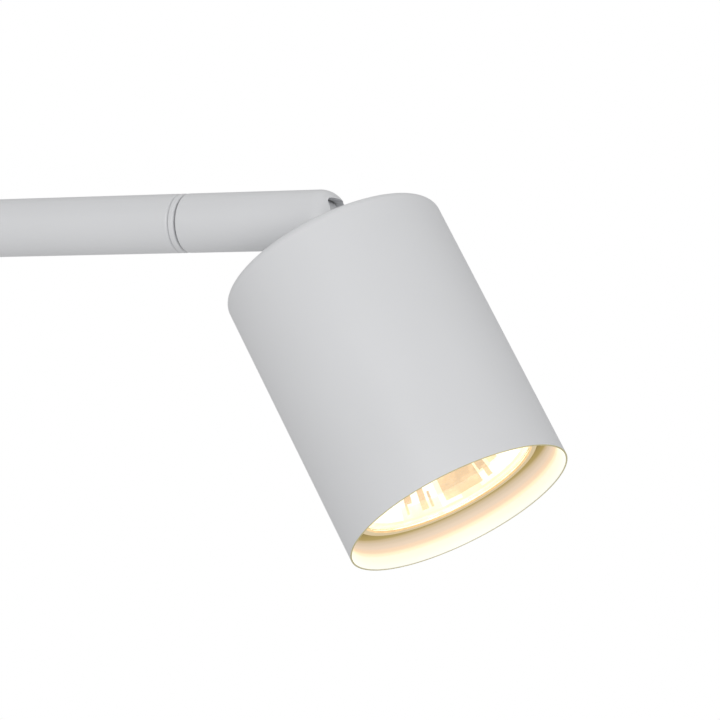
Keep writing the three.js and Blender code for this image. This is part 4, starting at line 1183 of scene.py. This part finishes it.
    def build_reflector(self) -> None:
        """The pressed bowl: a plain outside and rim, and the faceted mirror inside."""
        seat = self.glass_r + self.glass_gap
        lip_r = self.glass_r - self.lip
        stations = np.linspace(self.bowl_from + 1.5, self.bowl_to - 2, 14)
        outside = np.stack([stations, self.bowl_radius(stations) + self.bowl_wall], axis=1)
        profile = np.vstack([
            [(self.bowl_from, self.bowl_r), (self.bowl_from, seat), (self.lip, seat), (self.lip, lip_r)],
            [(self.lip_edge, lip_r), (0.0, self.glass_r), (0.0, self.rim_r - self.rim_edge)],
            [(self.rim_edge, self.rim_r), (self.rim_depth, self.rim_r)], outside,
            [(self.bowl_to, self.neck_r), (self.neck_to, self.neck_r), (self.neck_to, self.neck_bore)],
            [(self.bowl_to, self.neck_bore)],
        ])
        profile[:, 0] = self.front - profile[:, 0]
        shell = lathe(profile, self.columns * self.across, ring=False)
        piece = lay("reflector_bowl", shell.beside(self.mirror_sheet()), self.place)
        mesh = piece.data
        middle = np.empty(len(mesh.polygons) * 3, np.float32)
        mesh.polygons.foreach_get("center", middle)
        # painted reflection and shadow brightness of each face, turned into emitted light by the mirror's material
        painted_light = self.brightness(middle.reshape(-1, 3))
        mesh.attributes.new("facet", "FLOAT", "FACE").data.foreach_set("value", painted_light)
        smooth(piece)
        self.fit(piece, "lamp_reflector", "reflector_coating", "lamp")

    def build_capsule(self) -> None:
        """The quartz capsule with its domed end, and the filament coil on its two wires."""
        turn = np.linspace(0, np.pi / 2, 12)
        middle = self.front - self.capsule_dome
        outer = np.stack([middle + self.capsule_r * np.cos(turn), self.capsule_r * np.sin(turn)], axis=1)
        inner_r = self.capsule_r - self.capsule_wall
        inner = np.stack([middle + inner_r * np.cos(turn), inner_r * np.sin(turn)], axis=1)[::-1]
        rear = self.front - self.capsule_rear
        profile = np.vstack([outer, [[rear, self.capsule_r], [rear, inner_r]], inner])
        capsule = lay("capsule_envelope", lathe(profile, 64, ring=False), self.place)
        smooth(capsule)
        self.fit(capsule, "lamp_capsule", "lamp_glass", "lamp")
        angle = np.linspace(0, self.coil_turns * 2 * np.pi, self.coil_turns * 16)
        coil_x = self.front - self.coil_at
        radial = np.stack([np.cos(angle), np.sin(angle), np.zeros_like(angle)], axis=1)
        path = self.coil_r * radial + np.array([coil_x, 0, 0])
        path[:, 2] = np.linspace(-self.coil_half, self.coil_half, len(angle))
        wire = tube(path, radial, self.coil_wire_r)
        support = rod(self.support_r, coil_x - self.support_length, coil_x, steps=12)
        for side in (-1, 1):
            wire = wire.beside(support.shifted(z=side * self.coil_half))
        filament = lay("filament_coil", wire, self.place)
        smooth(filament)
        self.fit(filament, "lamp_filament", "filament_wire", "lamp")


# ------------------------------------------------------------------ arm and knuckle
@dataclass
class Arm(SubAssembly):
    """The tube, the elbow knuckle behind it, and the collar with its spigot ahead."""

    place: Place
    hinge: HingeSizes
    reach: float = 210.0
    bore_r: float = 6.3
    tube_edges: Pair = (0.35, 0.7)
    plug_r: float = 6.0
    plug_edge: float = 0.3
    plug_sink: float = 0.5
    elbow_tail: float = 30.0
    plug_length: float = 10.0
    knuckle_tail: float = 37.05
    seam: float = 0.5
    collar: float = 1.5
    collar_edges: Pair = (0.15, 0.55)
    spigot_r: float = 4.5
    spigot_length: float = 14.5
    groove_offset: float = 7.0
    groove_width: float = 2.8
    groove_r: float = 3.2
    groove_edge: float = 0.1
    tip_edge: float = 0.4
    lead_r: float = 2.3

    def build(self) -> None:
        """Builds and fits the arm's pieces."""
        bar = self.hinge.bar_r
        front = self.reach - self.knuckle_tail - self.seam
        rear = front - self.collar
        low = self.elbow_tail + self.hinge.gap
        high = rear - self.hinge.gap
        sleeve = turned([(low, bar), (high, bar)], self.tube_edges, 160, bore=self.bore_r)
        tube_piece = lay("arm_sleeve", sleeve, self.place)
        smooth(tube_piece)
        self.fit(tube_piece, "arm_tube", "arm_paint", "arm")
        groove = front + self.seam + self.groove_offset
        near, far = groove - self.groove_width / 2, groove + self.groove_width / 2
        corners = [
            (rear - self.plug_length, self.plug_r), (rear, self.plug_r), (rear, bar), (front, bar),
            (front, self.spigot_r), (near, self.spigot_r), (near, self.groove_r),
            (far, self.groove_r), (far, self.spigot_r), (front + self.spigot_length, self.spigot_r),
        ]
        rounding = [self.plug_edge, 0, *self.collar_edges, 0]
        rounding += [self.groove_edge, 0, 0, self.groove_edge, self.tip_edge]
        collar = lay("collar_spigot", turned(corners, rounding, 160, bore=self.lead_r), self.place)
        smooth(collar)
        self.fit(collar, "roll_spigot", "arm_paint", "arm")
        self.build_elbow()

    def build_elbow(self) -> None:
        """The elbow's knuckle with its plug, and its pivot screw."""
        end = self.elbow_tail + self.plug_length
        bores = [rod(self.lead_r, -end - PAST, 0)]
        elbow = self.hinge.knuckle("elbow_fork", self.elbow_tail, bores, self.place, True)
        corners = [(self.elbow_tail - self.plug_sink, self.plug_r), (end, self.plug_r)]
        plug = turned(corners, [0, self.plug_edge], 96, bore=self.lead_r)
        plug_piece = lay("elbow_plug_form", plug, self.place)
        join = elbow.modifiers.new("plug", "BOOLEAN")
        join.operation = Combine.JOIN.value
        join.object = plug_piece
        settle(elbow)
        bpy.data.meshes.remove(plug_piece.data)
        smooth(elbow)
        self.fit(elbow, "elbow_knuckle", "arm_paint", "arm")
        screw = self.hinge.pivot_screw("elbow_pin_screw", self.place)
        self.fit(screw, "elbow_pivot_screw", "plated_steel", "arm")


@dataclass
class HeadKnuckle(SubAssembly):
    """The knuckle that rolls on the spigot, with its pivot screw and stop screw."""

    place: Place
    hinge: HingeSizes
    tail: float = 37.05
    spigot_bore_r: float = 4.8
    spigot_depth: float = 16.0
    lead_r: float = 2.3
    stop_at: float = 30.05
    stop_hole_r: float = 1.75

    def build(self) -> None:
        """Builds and fits the knuckle's pieces."""
        far = 2 * self.hinge.bar_r
        bores = [
            rod(self.lead_r, -self.tail - PAST, 0),
            rod(self.spigot_bore_r, -self.tail - PAST, self.spigot_depth - self.tail, steps=72),
            rod(self.stop_hole_r, 0, far, Axis.Y).shifted(-self.stop_at),
        ]
        knuckle = self.hinge.knuckle("head_fork", self.tail, bores, self.place, False)
        self.fit(knuckle, "head_knuckle", "arm_paint", "knuckle")
        screw = self.hinge.pivot_screw("head_pin_screw", self.place)
        self.fit(screw, "head_pivot_screw", "plated_steel", "knuckle")
        grub = dressed_copy("roll_stop_screw", "roll_grub_screw", 0.08)
        self.fit(grub, "roll_stop_screw", "plated_steel", "knuckle")


# ------------------------------------------------------------------ adapter
@dataclass
class Adapter(SubAssembly):
    """The rail adapter: its housing, lid, locks and the stem that hangs from it."""

    stem_place: Place
    hinge: HingeSizes
    copies: tuple[tuple[str, str, str, str, float], ...] = (
        ("adapter_housing", "housing_tray", "adapter_moulding", "adapter", 0.35),
        ("adapter_lid", "lid_and_insert", "adapter_moulding", "adapter", 0.3),
        ("earth_spring", "earth_strip", "contact_copper", "adapter", 0.1),
        ("lid_screw_front", "front_lid_screw", "plated_steel", "adapter", 0.08),
        ("lid_screw_rear", "rear_lid_screw", "plated_steel", "adapter", 0.08),
        ("contact_wheel", "contact_thumb_wheel", "adapter_moulding", "contact_lock", 0.25),
        ("contact_rotor", "blade_rotor", "nylon", "contact_lock", 0.2),
        ("contact_live", "live_blade", "contact_copper", "contact_lock", 0.15),
        ("contact_neutral", "neutral_blade", "contact_copper", "contact_lock", 0.15),
        ("lock_wheel", "lug_thumb_wheel", "adapter_moulding", "lug_lock", 0.25),
        ("lock_lug", "steel_lug", "plated_steel", "lug_lock", 0.3),
        ("lug_screw", "lug_fixing_screw", "plated_steel", "lug_lock", 0.1),
    )

    def build(self) -> None:
        """Builds and fits the adapter's pieces."""
        for node, name, slot, body, width in self.copies:
            self.fit(dressed_copy(node, name, width), node, slot, body)
        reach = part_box("swivel_stem")[1].z / MM - self.stem_place.origin[2] / MM
        stem = self.hinge.tongue("stem_tongue", self.hinge.bar_r, reach, self.stem_place)
        self.fit(stem, "swivel_stem", "arm_paint", "swivel")


# ------------------------------------------------------------------ studio
@dataclass(frozen=True)
class Softbox:
    """A square area light, aimed at a point."""

    name: str
    position: Triple
    side: float
    power: float

    def place(self, target: Vector) -> None:
        """Hangs the light and aims it."""
        data = bpy.data.lights.new(self.name, "AREA")
        data.size = self.side
        data.energy = self.power
        light = bpy.data.objects.new(self.name, data)
        light.location = self.position
        light.rotation_euler = (target - light.location).to_track_quat("-Z", "Y").to_euler()
        bpy.context.scene.collection.objects.link(light)


@dataclass
class Studio:
    """The camera, the pale floor and the soft lights."""

    pin: Vector
    azimuth: float = 28.05
    elevation: float = -6.49
    roll: float = 3.14
    distance: float = 0.925
    lens: float = 179.4
    aim_offset: Triple = (0.0103, 0.0104, -0.0351)
    floor_z: float = -0.42
    floor_half: float = 6.0
    floor_bounce: float = 0.64
    floor_tone: float = 0.88
    backdrop: float = 1.0
    fill: float = 0.562

    def build(self) -> None:
        """Sets up everything round the fitting."""
        self.set_camera()
        self.set_floor()
        self.set_world()
        middle = self.pin + Vector(self.aim_offset)
        for light in (
            Softbox("front_softbox", (0.75, -1.35, -0.1), 1.2, 9.7),
            Softbox("edge_softbox", (1.35, -0.75, 0.0), 0.35, 0.8),
            Softbox("left_softbox", (-0.9, -1.25, 0.2), 1.0, 0.75),
            Softbox("right_softbox", (1.7, -0.2, 0.1), 1.0, 1.2),
            Softbox("top_softbox", (-0.1, 0.1, 1.3), 1.2, 1.15),
        ):
            light.place(middle)
        bpy.context.scene.view_settings.view_transform = "Standard"

    def set_camera(self) -> None:
        """A long lens, looking a little upwards from the front right of the arm."""
        azimuth = math.radians(self.azimuth)
        elevation = math.radians(self.elevation)
        flat = math.cos(elevation)
        back = Vector((math.sin(azimuth) * flat, -math.cos(azimuth) * flat, math.sin(elevation)))
        data = bpy.data.cameras.new("studio_camera")
        data.lens = self.lens
        data.clip_start = 0.01
        camera = bpy.data.objects.new("studio_camera", data)
        level = (-back).to_track_quat("-Z", "Y").to_matrix()
        turn = level @ Matrix.Rotation(math.radians(self.roll), 3, "Z")
        spot = self.pin + Vector(self.aim_offset) + back * self.distance
        camera.matrix_world = Matrix.Translation(spot) @ turn.to_4x4()
        bpy.context.scene.collection.objects.link(camera)
        bpy.context.scene.camera = camera

    def set_floor(self) -> None:
        """A wide pale floor below the fitting, evenly lit however the softboxes stand."""
        side = self.floor_half / MM
        corners = np.array([(-side, -side, 0), (side, -side, 0), (side, side, 0), (-side, side, 0)], float)
        sheet = Surface(corners, np.array([[0, 1, 2, 3]]))
        floor = lay("studio_floor", sheet, Place((0.0, 0.0, self.floor_z)))
        material, wiring, shader = new_material("floor_paint")
        cloud = wiring.noise(wiring.spot(), 1.5)
        colour = wiring.blend(cloud, (0.96, 0.96, 0.96, 1), (1.0, 1.0, 1.0, 1))
        wiring.join(colour, shader, "Emission Color")
        seen = wiring.node("ShaderNodeLightPath").outputs["Is Camera Ray"]
        strength = wiring.spread(seen, (0, 1), (self.floor_bounce, self.floor_tone))
        wiring.join(strength, shader, "Emission Strength")
        shader.inputs["Base Color"].default_value = (0.0, 0.0, 0.0, 1.0)
        shader.inputs["Specular IOR Level"].default_value = 0.0
        floor.data.materials.append(material)

    def set_world(self) -> None:
        """A white surround, which lights the fitting less than it shows behind it."""
        world = bpy.data.worlds.new("studio_world")
        world.use_nodes = True
        bpy.context.scene.world = world
        wiring = Wiring(world.node_tree)
        world.node_tree.nodes.clear()
        seen = wiring.node("ShaderNodeLightPath").outputs["Is Camera Ray"]
        strength = wiring.spread(seen, (0, 1), (self.fill, self.backdrop))
        feeds = {"Color": (1.0, 1.0, 1.0, 1.0), "Strength": strength}
        background = wiring.node("ShaderNodeBackground", feeds)
        wiring.node("ShaderNodeOutputWorld", {"Surface": background.outputs[0]})


def main() -> None:
    """Builds the looks of every sub-assembly in order."""
    logging.basicConfig(level=logging.INFO, format="%(message)s")
    arm_place = joint_place("elbow_fold")
    head_axis = next(row["axis"] for row in frame["joints"] if row["name"] == "lamp_twist")
    tilt = math.degrees(math.atan2(-head_axis[2], head_axis[0]))
    head_place = joint_place("head_tilt", tilt)
    hinge = HingeSizes()
    finishes = Finishes(head_place)
    finishes.build()
    finishes.dress_frame()
    Studio(Vector(head_place.origin)).build()
    Adapter(finishes, Place(arm_place.origin, -90.0), hinge).build()
    Arm(finishes, arm_place, hinge).build()
    HeadKnuckle(finishes, joint_place("head_tilt"), hinge).build()
    Head(finishes, head_place, hinge).build()
    Lamp(finishes, head_place).build()


if __name__ == "__main__":
    main()
